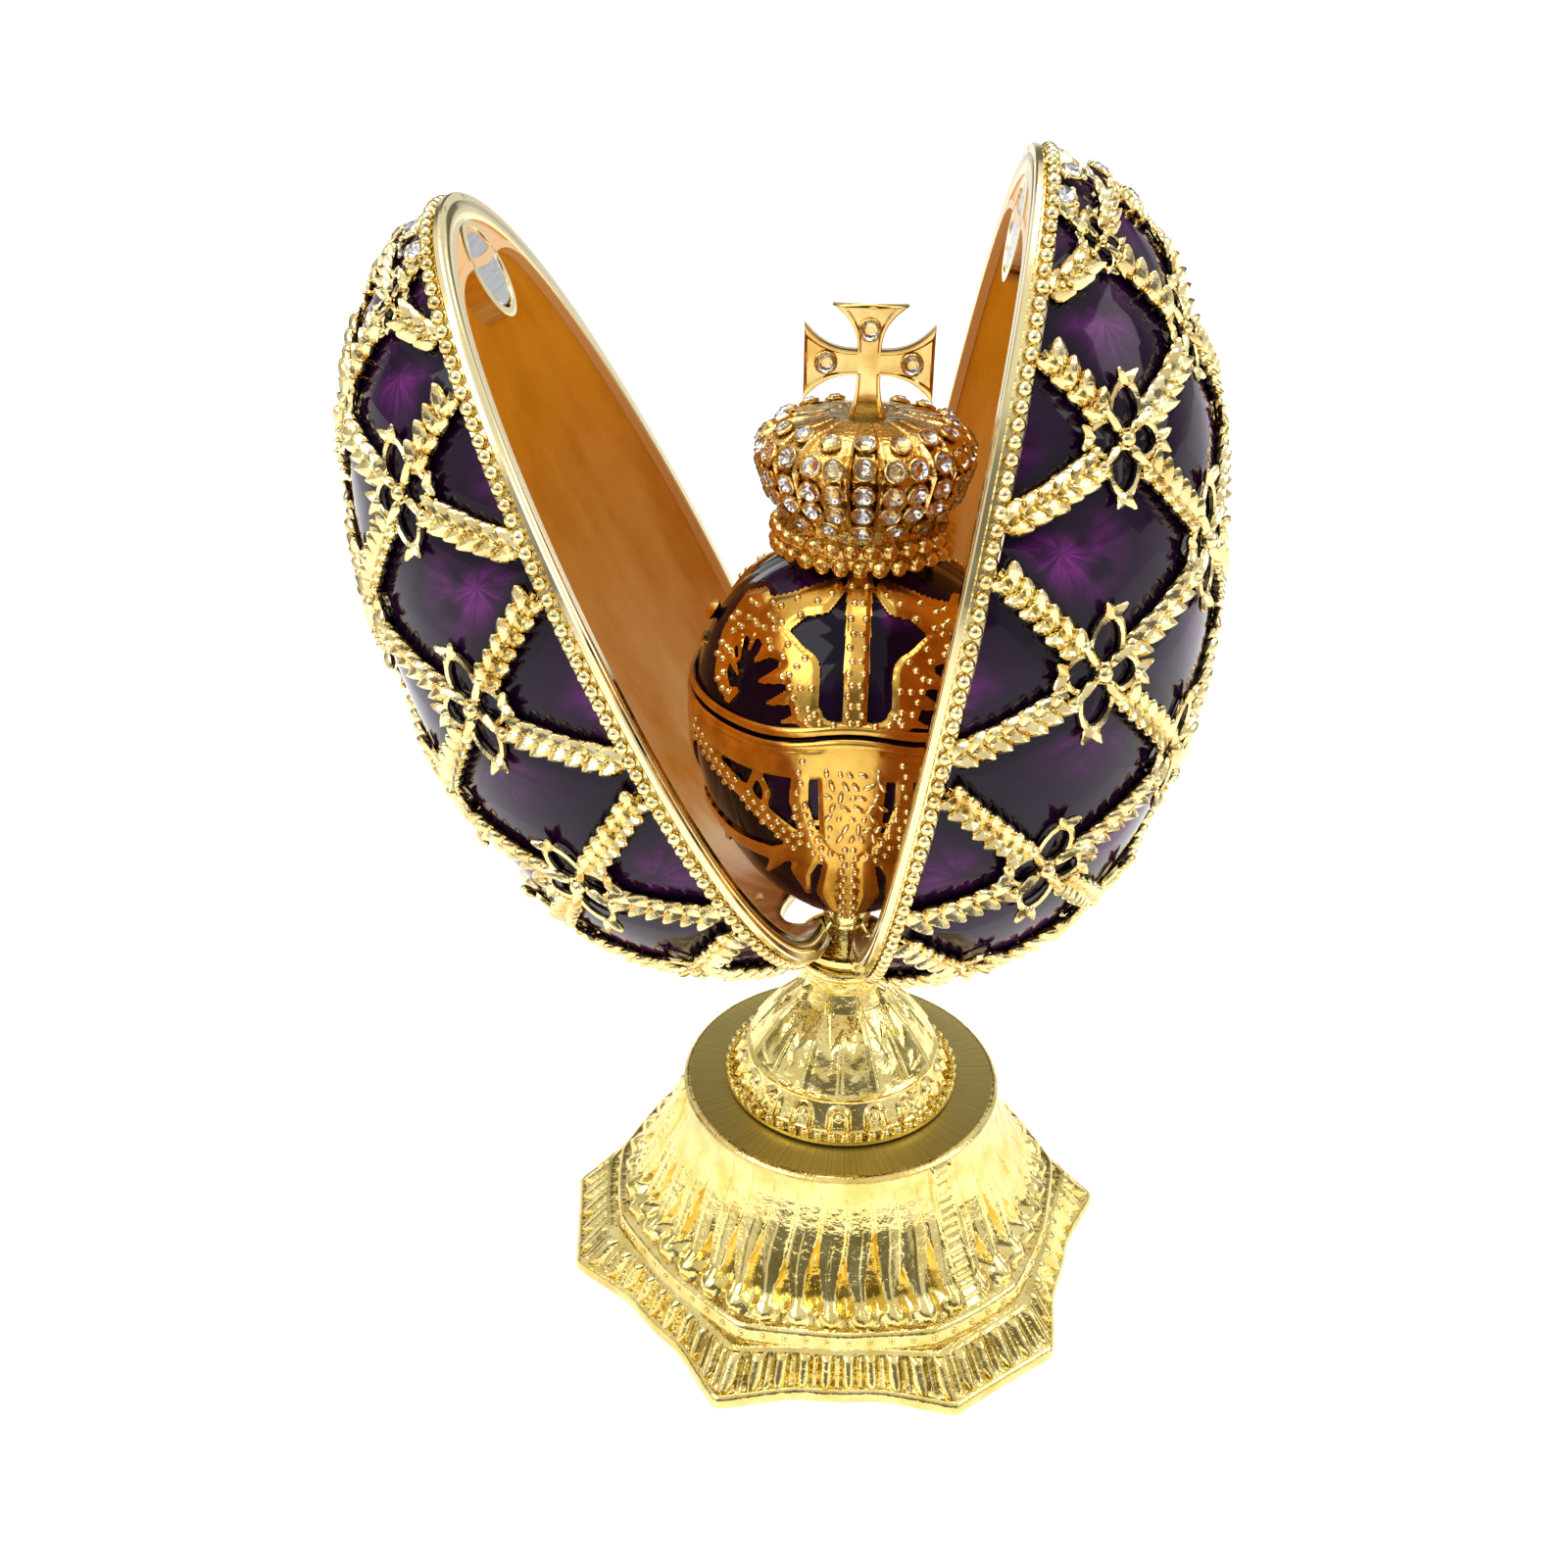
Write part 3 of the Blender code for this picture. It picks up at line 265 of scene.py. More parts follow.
def turned(points, columns, shift=None):
    """A closed body turned about Z, with a relief that shift(zone, part, angle) adds.

    shift gives how far to move a point outwards and upwards.
    """
    rows = ring_rows(points)

    def place(across, up):
        height, radius, zone, part = rows[round(up * (len(rows) - 1))]
        angle = 2.0 * math.pi * across
        out, rise = shift(zone, part, angle) if shift else (0.0, 0.0)
        return Vector(((radius + out) * math.cos(angle), (radius + out) * math.sin(angle),
                       height + rise))
    return closed_body(sheet(columns, len(rows) - 1, place))


def template(maker):
    """A small mesh to stamp many times, built by a function that fills a bmesh."""
    shape = bmesh.new()
    maker(shape)
    bmesh.ops.recalc_face_normals(shape, faces=shape.faces)
    mesh = bpy.data.meshes.new("stamp")
    shape.to_mesh(mesh)
    shape.free()
    return mesh


def stamp(shape, mesh, matrix, material=None):
    """Add a placed copy of a template mesh to a shape."""
    copy = mesh.copy()
    copy.transform(matrix)
    if material is not None:
        copy.polygons.foreach_set("material_index", [material] * len(copy.polygons))
    shape.from_mesh(copy)
    bpy.data.meshes.remove(copy)


def bead(segments=8, rings=6):
    """A round bead of radius 1."""
    return template(lambda shape: bmesh.ops.create_uvsphere(
        shape, u_segments=segments, v_segments=rings, radius=1.0))


def leaf():
    """A slim pointed leaf along +X, 1 long, with a raised crease down its middle."""
    def fill(shape):
        bmesh.ops.create_uvsphere(shape, u_segments=8, v_segments=6, radius=0.5)
        bmesh.ops.rotate(shape, verts=shape.verts, matrix=Matrix.Rotation(math.pi / 2.0, 3, "Y"))
        for vert in shape.verts:
            along = vert.co.x + 0.5
            crease = 0.07 * (1.0 - min(1.0, abs(vert.co.y) * 5.0)) if vert.co.z > 0 else 0.0
            rise = 0.50 * vert.co.z + crease + 0.10 * along * along
            vert.co = Vector((vert.co.x, vert.co.y * 0.80 * (1.0 - 0.5 * along), rise))
    return template(fill)


def loop_ring(thickness, point=0.0, segments=18):
    """A ring of radius 1 in the X-Y plane, drawn out to a point along +X if asked."""
    def fill(shape):
        made = bmesh.ops.create_circle(shape, segments=6, radius=thickness)
        turn = Matrix.Translation((1.0, 0.0, 0.0)) @ Matrix.Rotation(math.pi / 2.0, 4, "X")
        bmesh.ops.transform(shape, matrix=turn, verts=made["verts"])
        bmesh.ops.spin(
            shape, geom=shape.verts[:] + shape.edges[:], cent=(0, 0, 0), axis=(0, 0, 1),
            angle=2.0 * math.pi, steps=segments, use_merge=True)
        for vert in shape.verts:
            if vert.co.x > 0.0:
                vert.co.x *= 1.0 + point
                vert.co.y *= 1.0 - 0.35 * point * vert.co.x
    return template(fill)


def cut_stone():
    """A round cut stone of radius 1 with a table and two rows of facets."""
    def fill(shape):
        bmesh.ops.create_cone(
            shape, cap_ends=True, segments=8, radius1=1.0, radius2=0.55, depth=0.50)
        bmesh.ops.translate(shape, vec=(0.0, 0.0, 0.27), verts=shape.verts)
        girdle = [face for face in shape.faces if face.normal.z < -0.9]
        made = bmesh.ops.inset_region(shape, faces=girdle, thickness=0.62, depth=0.0)
        culet = [vert for face in girdle for vert in face.verts]
        bmesh.ops.translate(shape, vec=(0.0, 0.0, -0.55), verts=list(set(culet)))
        sides = [face for face in shape.faces if 0.1 < face.normal.z < 0.95]
        bmesh.ops.poke(shape, faces=sides, offset=0.05)
        return made
    return template(fill)


def foil():
    """A shallow mirror cup of radius 1 that stands behind a cut stone."""
    return template(lambda shape: bmesh.ops.create_cone(
        shape, segments=8, radius1=0.12, radius2=1.03, depth=0.5,
        matrix=Matrix.Translation((0.0, 0.0, -0.24))))


def join(shape, part):
    """Add another shape to a shape and drop it."""
    mesh = bpy.data.meshes.new("part")
    part.to_mesh(mesh)
    part.free()
    shape.from_mesh(mesh)
    bpy.data.meshes.remove(mesh)


def look_along(place, outward, up=Vector((0.0, 0.0, 1.0))):
    """A matrix whose Z points outwards and whose X points up as far as it can."""
    z_axis = outward.normalized()
    x_axis = (up - z_axis * up.dot(z_axis)).normalized()
    y_axis = z_axis.cross(x_axis)
    turn = Matrix((x_axis, y_axis, z_axis)).transposed()
    return Matrix.Translation(place) @ turn.to_4x4()


def scaled(x, y=None, z=None):
    """A scaling matrix."""
    return Matrix.Diagonal((x, x if y is None else y, x if z is None else z, 1.0))


# Placing pieces

def add_piece(name, shape, finishes, body, replaces=(), smooth=38.0):
    """Make a shape a finished piece that rides on a body."""
    mesh = bpy.data.meshes.new(name)
    shape.to_mesh(mesh)
    shape.free()
    mesh.shade_smooth()
    mesh.set_sharp_from_angle(angle=math.radians(smooth))
    for finish in finishes:
        mesh.materials.append(bpy.data.materials[finish])
    piece = bpy.data.objects.new(name, mesh)
    bpy.context.collection.objects.link(piece)
    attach(piece, body)
    if replaces:
        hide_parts(*replaces)
    return piece


def opened(side):
    """The move that carries the closed right half to its open place on a side."""
    joint = next(entry for entry in frame["joints"] if entry["child"] == side + "_side")
    pivot = Vector(joint["pos_m"])
    turn = Matrix.Rotation(math.radians(-joint["range_deg"][0]), 4, Vector(joint["axis"]))
    mirror = scaled(-1.0 if side == "left" else 1.0, 1.0, 1.0)
    return Matrix.Translation(pivot) @ turn @ Matrix.Translation(-pivot) @ mirror


def add_pair(name, shape, finishes, replaces=(), smooth=38.0):
    """Add a piece of the closed right half, and its twin, in their open places."""
    for side in SIDES:
        twin = shape.copy()
        move = opened(side)
        bmesh.ops.transform(twin, matrix=move, verts=twin.verts)
        if move.determinant() < 0.0:
            bmesh.ops.reverse_faces(twin, faces=twin.faces)
        nodes = [f"{side}_{node}" for node in replaces]
        add_piece(f"{side}_{name}", twin, finishes, side + "_side", nodes, smooth)
    shape.free()


# The outer egg's outline

class OuterEgg:
    """The closed outer egg's outline, read once from its sizes."""

    def __init__(self):
        sizes = bpy.context.scene.egg_outer
        self.bottom = sizes.bottom
        self.height = sizes.height
        self.radius = sizes.radius
        self.taper = sizes.taper
        self.fullness = sizes.fullness
        self.start = sizes.lattice_start
        self.step = sizes.lattice_step
        self.columns = sizes.columns
        self.sizes = sizes

    def plain(self, turn):
        """(radius, height) of the outline where it has turned from the bottom."""
        rise = (1.0 - math.cos(turn)) / 2.0
        full = (1.0 + self.taper * math.cos(turn)) * (1.0 + self.fullness * rise ** 3)
        return self.radius * math.sin(turn) * full, self.bottom + self.height * rise

    def outline(self, turn, lift):
        """(radius, height) of the outline, moved outwards by a lift."""
        radius, height = self.plain(turn)
        before = self.plain(turn - 0.001)
        after = self.plain(turn + 0.001)
        span = math.hypot(after[0] - before[0], after[1] - before[1])
        radius += lift * (after[1] - before[1]) / span
        return max(radius, 0.0), height - lift * (after[0] - before[0]) / span

    def point(self, azimuth, turn, lift=0.0):
        """A point of the right half, with the azimuth from the viewer's rim."""
        radius, height = self.outline(turn, lift)
        return Vector((radius * math.sin(azimuth), -radius * math.cos(azimuth), height))

    def spot(self, column, level, lift=0.0):
        """A point of the right half in the lattice's column and level."""
        turn = math.pi * (self.start + self.step * level)
        return self.point(math.pi * column / self.columns, min(turn, math.pi), lift)

    def place(self, column, level, toward, lift=0.0):
        """A matrix on the lattice with Z outwards and X towards (column, level) steps."""
        here = self.spot(column, level, lift)
        outward = self.spot(column, level, lift + 0.001) - here
        ahead = self.spot(column + 0.02 * toward[0], level + 0.02 * toward[1], lift)
        return look_along(here, outward, ahead - here)

    def rim_point(self, part, across, lift):
        """A point of the rim: part runs 0 to 1 from the front over the tip to the back."""
        along = 2.0 * part - 1.0
        least = self.hole_turn()
        turn = least + (math.pi - least) * (1.0 - abs(along))
        radius, height = self.outline(turn, lift)
        side = -1.0 if along < 0.0 else 1.0
        return Vector((self.sizes.gap / 2.0 + across, side * radius, height))

    def hole_turn(self):
        """Where the outline meets the base hole."""
        return math.asin(self.sizes.hole / (self.radius * (1.0 + self.taper)))


# Materials

class Nodes:
    """Adds nodes to a tree and links them."""

    def __init__(self, tree):
        self.tree = tree

    def add(self, kind, values=None, **settings):
        """A node with its settings, and its inputs set or linked."""
        item = self.tree.nodes.new(kind)
        for key, value in settings.items():
            setattr(item, key, value)
        for key, value in (values or {}).items():
            if isinstance(value, bpy.types.NodeSocket):
                self.tree.links.new(value, item.inputs[key])
            else:
                item.inputs[key].default_value = value
        return item

    def math(self, operation, first, second=0.0, clamp=False):
        """The result of a Math node."""
        item = self.add(
            "ShaderNodeMath", {0: first, 1: second}, operation=operation, use_clamp=clamp)
        return item.outputs[0]

    def vector(self, operation, first, second=(0.0, 0.0, 0.0)):
        """The result of a Vector Math node."""
        item = self.add("ShaderNodeVectorMath", {0: first, 1: second}, operation=operation)
        return item.outputs["Value" if operation == "LENGTH" else "Vector"]

    def ramp(self, factor, *stops):
        """A colour ramp through (position, grey or colour) stops."""
        item = self.add("ShaderNodeValToRGB", {"Fac": factor})
        elements = item.color_ramp.elements
        while len(elements) < len(stops):
            elements.new(0.5)
        for element, (position, value) in zip(elements, stops):
            element.position = position
            shade = (value, value, value) if isinstance(value, (int, float)) else value
            element.color = (*shade, 1.0)
        return item.outputs["Color"]

    def mix(self, factor, first, second):
        """A mix of two colours."""
        item = self.add("ShaderNodeMix", data_type="RGBA")
        for key, value in ((0, factor), (6, first), (7, second)):
            if isinstance(value, bpy.types.NodeSocket):
                self.tree.links.new(value, item.inputs[key])
            else:
                item.inputs[key].default_value = value
        return item.outputs[2]

    def noise(self, vector, scale, detail=2.0, roughness=0.5):
        """A noise texture's value."""
        return self.add(
            "ShaderNodeTexNoise",
            {"Vector": vector, "Scale": scale, "Detail": detail, "Roughness": roughness},
        ).outputs["Fac"]


def group(name, inputs, outputs):
    """A new node group with named sockets, and its input and output nodes."""
    tree = bpy.data.node_groups.new(name, "ShaderNodeTree")
    for label, kind, default in inputs:
        socket = tree.interface.new_socket(label, in_out="INPUT", socket_type=kind)
        if default is not None:
            socket.default_value = default
    for label, kind in outputs:
        tree.interface.new_socket(label, in_out="OUTPUT", socket_type=kind)
    build = Nodes(tree)
    return build, build.add("NodeGroupInput").outputs, build.add("NodeGroupOutput")


def cast_gold_group():
    """Gilt casting: a colour darkened in noise patches by painted shade of the hollows, small dents and a
    varied gloss.
    """
    build, given, result = group(
        "Gilt casting",
        [("Bright", "NodeSocketColor", None), ("Deep", "NodeSocketColor", None),
         ("Grain", "NodeSocketFloat", 900.0), ("Dent", "NodeSocketFloat", 0.2),
         ("Gloss", "NodeSocketFloat", 0.16)],
        [("Colour", "NodeSocketColor"), ("Roughness", "NodeSocketFloat"),
         ("Normal", "NodeSocketVector")])
    where = build.add("ShaderNodeTexCoord").outputs["Object"]
    patches = build.noise(where, 260.0, 3.0)
    grain = build.noise(where, given["Grain"], 2.0, 0.6)
    # Painted shade: the Deep colour stands for shade in hollows and goes wherever the noise patches fall
    depth = build.ramp(patches, (0.34, 0.85), (0.62, 0.0))
    link = build.tree.links.new
    link(build.mix(depth, given["Bright"], given["Deep"]), result.inputs["Colour"])
    rough = build.math("MULTIPLY_ADD", patches, 0.22)
    rough.node.inputs[2].default_value = -0.08
    link(build.math("ADD", rough, given["Gloss"], clamp=True), result.inputs["Roughness"])
    bump = build.add(
        "ShaderNodeBump", {"Height": grain, "Strength": given["Dent"], "Distance": 0.0004})
    link(bump.outputs["Normal"], result.inputs["Normal"])
    return build.tree


def enamel_cell_group():
    """Dark enamel with an off-centre painted glow in each cell, standing for light off the foil beneath,
    parted by rays and patches.
    """
    build, given, result = group(
        "Enamel cells",
        [("Cell", "NodeSocketVector", None), ("Dark", "NodeSocketColor", None),
         ("Glow", "NodeSocketColor", None), ("Rays", "NodeSocketFloat", 7.0)],
        [("Colour", "NodeSocketColor"), ("Height", "NodeSocketFloat")])
    cell = build.vector("FLOOR", given["Cell"])
    chance = build.add("ShaderNodeTexWhiteNoise", {"Vector": cell}, noise_dimensions="3D")
    within = build.vector("SUBTRACT", build.vector("FRACTION", given["Cell"]), (0.5, 0.5, 0.0))
    offset = build.vector("SCALE", build.vector("SUBTRACT", chance.outputs["Color"], (0.5, 0.5, 0.5)))
    offset.node.inputs["Scale"].default_value = 0.62
    flat = build.vector("MULTIPLY", build.vector("ADD", within, offset), (1.0, 1.0, 0.0))
    apart = build.add("ShaderNodeSeparateXYZ", {0: flat}).outputs
    angle = build.math("ARCTAN2", apart["Y"], apart["X"])
    distance = build.vector("LENGTH", flat)
    ray_spot = build.add("ShaderNodeCombineXYZ", {
        "X": build.math("MULTIPLY", angle, given["Rays"]),
        "Y": build.math("MULTIPLY", distance, 2.0),
        "Z": build.math("MULTIPLY", chance.outputs["Value"], 40.0)}).outputs[0]
    rays = build.ramp(build.noise(ray_spot, 0.8, 3.0, 0.6), (0.36, 0.18), (0.62, 1.0))
    patch = build.ramp(build.noise(given["Cell"], 2.6, 3.0), (0.42, 0.0), (0.60, 1.0))
    near = build.ramp(distance, (0.0, 1.0), (0.16, 0.62), (0.40, 0.0))
    sides = build.add("ShaderNodeSeparateXYZ", {0: build.vector("ABSOLUTE", within)}).outputs
    edge = build.math("MAXIMUM", sides["X"], sides["Y"])
    inside = build.ramp(edge, (0.26, 1.0), (0.40, 0.0))
    strong = build.ramp(chance.outputs["Value"], (0.1, 0.45), (0.9, 1.0))
    # Painted glow: light off the foil beneath is painted into the colour, strongest near an off-centre spot
    # and dark at the cells' edges
    light = build.math("MULTIPLY", build.math("MULTIPLY", rays, near), strong)
    light = build.math("MULTIPLY", light, patch)
    cloud = build.noise(given["Cell"], 3.5, 2.0)
    light = build.math("ADD", light, build.math("MULTIPLY", cloud, 0.06), clamp=True)
    light = build.math("MULTIPLY", light, inside)
    link = build.tree.links.new
    link(build.mix(light, given["Dark"], given["Glow"]), result.inputs["Colour"])
    link(build.ramp(edge, (0.18, 1.0), (0.32, 0.7), (0.42, 0.0)), result.inputs["Height"])
    return build.tree


def streak_group():
    """Streaked lacquer: long brush streaks that follow a surface from end to end."""
    build, given, result = group(
        "Lacquer streaks",
        [("Along", "NodeSocketVector", None), ("Light", "NodeSocketColor", None),
         ("Deep", "NodeSocketColor", None)],
        [("Colour", "NodeSocketColor"), ("Roughness", "NodeSocketFloat"),
         ("Normal", "NodeSocketVector")])
    broad = build.noise(given["Along"], 1.0, 4.0, 0.62)
    fine = build.noise(build.vector("MULTIPLY", given["Along"], (3.5, 1.2, 1.0)), 1.0, 3.0)
    both = build.math("ADD", build.math("MULTIPLY", broad, 0.7), build.math("MULTIPLY", fine, 0.3))
    depth = build.ramp(both, (0.38, 1.0), (0.62, 0.0))
    link = build.tree.links.new
    link(build.mix(depth, given["Light"], given["Deep"]), result.inputs["Colour"])
    link(build.math("MULTIPLY", both, 0.55), result.inputs["Roughness"])
    bump = build.add("ShaderNodeBump", {"Height": both, "Strength": 0.10, "Distance": 0.0006})
    link(bump.outputs["Normal"], result.inputs["Normal"])
    return build.tree


def new_material(name, **constants):
    """A material whose Principled shader has its constant values set on it."""
    material = bpy.data.materials.new(name)
    material.use_nodes = True
    build = Nodes(material.node_tree)
    shader = material.node_tree.nodes["Principled BSDF"]
    for key, value in constants.items():
        shader.inputs[key.replace("_", " ")].default_value = value
    return build, shader


def gilt(name, bright, deep, grain, dent, gloss):
    """One of the box's golds, from the gilt casting group."""
    build, shader = new_material(name, Metallic=1.0)
    made = build.add("ShaderNodeGroup", node_tree=bpy.data.node_groups["Gilt casting"])
    for key, value in (("Bright", (*bright, 1.0)), ("Deep", (*deep, 1.0)), ("Grain", grain),
                       ("Dent", dent), ("Gloss", gloss)):
        made.inputs[key].default_value = value
    for source, target in (("Colour", "Base Color"), ("Roughness", "Roughness"),
                           ("Normal", "Normal")):
        build.tree.links.new(made.outputs[source], shader.inputs[target])


def enamel(name, dark, glow, rays, where, shine):
    """Glossy enamel whose cells follow the surface's pattern map or its place."""
    build, shader = new_material(name, Roughness=0.06, IOR=1.5, Specular_IOR_Level=shine)
    coordinates = build.add("ShaderNodeTexCoord").outputs[where]
    if where == "Object":
        coordinates = build.vector("MULTIPLY", coordinates, (60.0, 60.0, 60.0))
    made = build.add(
        "ShaderNodeGroup", {}, node_tree=bpy.data.node_groups["Enamel cells"])
    build.tree.links.new(coordinates, made.inputs["Cell"])
    # The glow colour is painted light off the foil beneath the enamel
    for key, value in (("Dark", (*dark, 1.0)), ("Glow", (*glow, 1.0)), ("Rays", rays)):
        made.inputs[key].default_value = value
    build.tree.links.new(made.outputs["Colour"], shader.inputs["Base Color"])
    ripple = build.math("MULTIPLY", build.noise(coordinates, 2.2, 1.0), 0.25)
    height = build.math("ADD", ripple, made.outputs["Height"])
    bump = build.add("ShaderNodeBump", {"Height": height, "Strength": 0.6, "Distance": 0.0007})
    build.tree.links.new(bump.outputs["Normal"], shader.inputs["Normal"])


def lacquer(name, light, deep, low):
    """Amber lacquer, streaked from the base to the tip and paler near the base."""
    build, shader = new_material(name, Specular_IOR_Level=0.3, Coat_Weight=0.25, Coat_Roughness=0.10)
    apart = build.add(
        "ShaderNodeSeparateXYZ", {0: build.add("ShaderNodeTexCoord").outputs["UV"]}).outputs
    level = build.math("SUBTRACT", apart["X"], apart["Y"])
    column = build.math("ADD", apart["X"], apart["Y"])
    along = build.add("ShaderNodeCombineXYZ", {
        "X": build.math("MULTIPLY", level, 0.22), "Y": build.math("MULTIPLY", column, 1.5)})
    made = build.add("ShaderNodeGroup", {}, node_tree=bpy.data.node_groups["Lacquer streaks"])
    build.tree.links.new(along.outputs[0], made.inputs["Along"])
    up = build.math("MULTIPLY_ADD", level, 0.08)
    up.node.inputs[2].default_value = 0.26
    tone = build.mix(build.ramp(up, (0.24, 0.0), (0.62, 1.0)), (*low, 1.0), (*light, 1.0))
    build.tree.links.new(tone, made.inputs["Light"])
    made.inputs["Deep"].default_value = (*deep, 1.0)
    for source, target in (("Colour", "Base Color"), ("Roughness", "Roughness"),
                           ("Normal", "Normal")):
        build.tree.links.new(made.outputs[source], shader.inputs[target])


def brushed_ring(name, bright, deep):
    """Matte gold of the foot's ring, with brush marks that run out from its middle."""
    build, shader = new_material(name, Metallic=1.0)
    apart = build.add(
        "ShaderNodeSeparateXYZ", {0: build.add("ShaderNodeTexCoord").outputs["Object"]}).outputs
    angle = build.math("ARCTAN2", apart["Y"], apart["X"])
    spot = build.add("ShaderNodeCombineXYZ", {"X": build.math("MULTIPLY", angle, 70.0)}).outputs[0]
    marks = build.noise(spot, 1.0, 3.0, 0.7)
    colour_now = build.mix(build.ramp(marks, (0.35, 0.0), (0.65, 1.0)),
                           (*bright, 1.0), (*deep, 1.0))
    build.tree.links.new(colour_now, shader.inputs["Base Color"])
    build.tree.links.new(build.ramp(marks, (0.3, 0.34), (0.7, 0.52)), shader.inputs["Roughness"])
    bump = build.add("ShaderNodeBump", {"Height": marks, "Strength": 0.35, "Distance": 0.0003})
    build.tree.links.new(bump.outputs["Normal"], shader.inputs["Normal"])


def scratched_steel(name, base, gloss):
    """Nickel with fine scratches."""
    build, shader = new_material(name, Metallic=1.0)
    where = build.add("ShaderNodeMapping", {
        "Vector": build.add("ShaderNodeTexCoord").outputs["Object"], "Scale": (300, 300, 2600)})
    marks = build.noise(where.outputs["Vector"], 1.0, 2.0)
    shade = build.mix(build.ramp(marks, (0.3, 0.0), (0.7, 1.0)), (*base, 1.0),
                      (*[0.8 * value for value in base], 1.0))
    build.tree.links.new(shade, shader.inputs["Base Color"])
    build.tree.links.new(
        build.ramp(marks, (0.3, gloss), (0.7, gloss + 0.14)), shader.inputs["Roughness"])


def crystal(name):
    """Clear cut crystal."""
    new_material(name, Base_Color=(1.0, 1.0, 1.0, 1.0), Roughness=0.0, IOR=1.60,
                 Transmission_Weight=1.0)


class EGGBOX_OT_finishes(Operator):
    """Make the golds, enamels, lacquer, steel and crystal"""

    bl_idname = "eggbox.finishes"
    bl_label = "Finishes"

    def execute(self, context):
        tones = context.scene.egg_colours
        cast_gold_group()
        enamel_cell_group()
        streak_group()
        # The deep colour given to each gold is painted shade of its hollows, laid in noise patches
        gilt("pale gold", tones.pale_gold, tones.pale_gold_painted_shade, 1500.0, 0.22, 0.07)
        gilt("rim gold", tones.pale_gold, tones.pale_gold, 500.0, 0.05, 0.14)
        gilt("stand gold", tones.stand_gold, tones.stand_gold_painted_shade, 900.0, 0.30, 0.10)
        gilt("warm gold", tones.warm_gold, tones.warm_gold_painted_shade, 1600.0, 0.45, 0.12)
        brushed_ring("ring gold", tones.ring_gold, [0.6 * value for value in tones.ring_gold])
        lacquer("amber lacquer", tones.lacquer, tones.lacquer_deep, tones.lacquer_low)
        # Its darker amber is painted shade, laid in noise patches
        gilt("amber gold", tones.amber_gold, [0.6 * value for value in tones.amber_gold], 700.0, 0.08, 0.20)
        gilt("cross gold", tones.warm_gold, tones.warm_gold_painted_shade, 300.0, 0.02, 0.08)
        # Both enamels carry the painted glow in their colour
        enamel("outer enamel", tones.enamel, tones.enamel_painted_glow, 4.0, "UV", 0.22)
        enamel("small egg enamel", tones.enamel, tones.enamel_painted_glow, 3.0, "Object", 0.15)
        scratched_steel("magnet steel", tones.steel, 0.14)
        scratched_steel("stone foil", (0.85, 0.86, 0.88), 0.05)
        crystal("clear crystal")
        return {"FINISHED"}


# Outer halves

class EGGBOX_OT_shells(Operator):
    """Build the two thin-walled halves, enamelled outside and lacquered inside"""

    bl_idname = "eggbox.shells"
    bl_label = "Enamelled shells"

    def execute(self, context):
        egg = OuterEgg()
        sizes = egg.sizes
        low = egg.hole_turn()

        def place(across, up):
            turn = blend(low, math.pi, up)
            point = egg.point(math.pi * across, turn)
            point.x = max(point.x, 0.0) + sizes.gap / 2.0
            return point

        def pattern(across, up):
            column = egg.columns * across
            level = (blend(low, math.pi, up) / math.pi - egg.start) / egg.step
            return (column + level) / 2.0, (column - level) / 2.0
        shape = sheet(84, 110, place, pattern)
        bmesh.ops.remove_doubles(shape, verts=shape.verts, dist=2e-6)
        bmesh.ops.recalc_face_normals(shape, faces=shape.faces)
        middle = Vector((0.0, 0.0, sizes.bottom + sizes.height / 2.0))
        shape.faces.ensure_lookup_table()
        face = shape.faces[len(shape.faces) // 2]
        if face.normal.dot(face.calc_center_median() - middle) < 0.0:
            bmesh.ops.reverse_faces(shape, faces=shape.faces)
        for side in SIDES:
            twin = shape.copy()
            move = opened(side)
            bmesh.ops.transform(twin, matrix=move, verts=twin.verts)
            if move.determinant() < 0.0:
                bmesh.ops.reverse_faces(twin, faces=twin.faces)
            piece = add_piece(
                side + "_shell", twin, ["outer enamel", "amber lacquer", "rim gold"],
                side + "_side", [side + "_half"], 60.0)
            wall = piece.modifiers.new("wall", "SOLIDIFY")
            wall.thickness = sizes.wall
            wall.offset = -1.0
            wall.use_even_offset = False
            wall.material_offset = 1
            wall.material_offset_rim = 2
        shape.free()
        return {"FINISHED"}


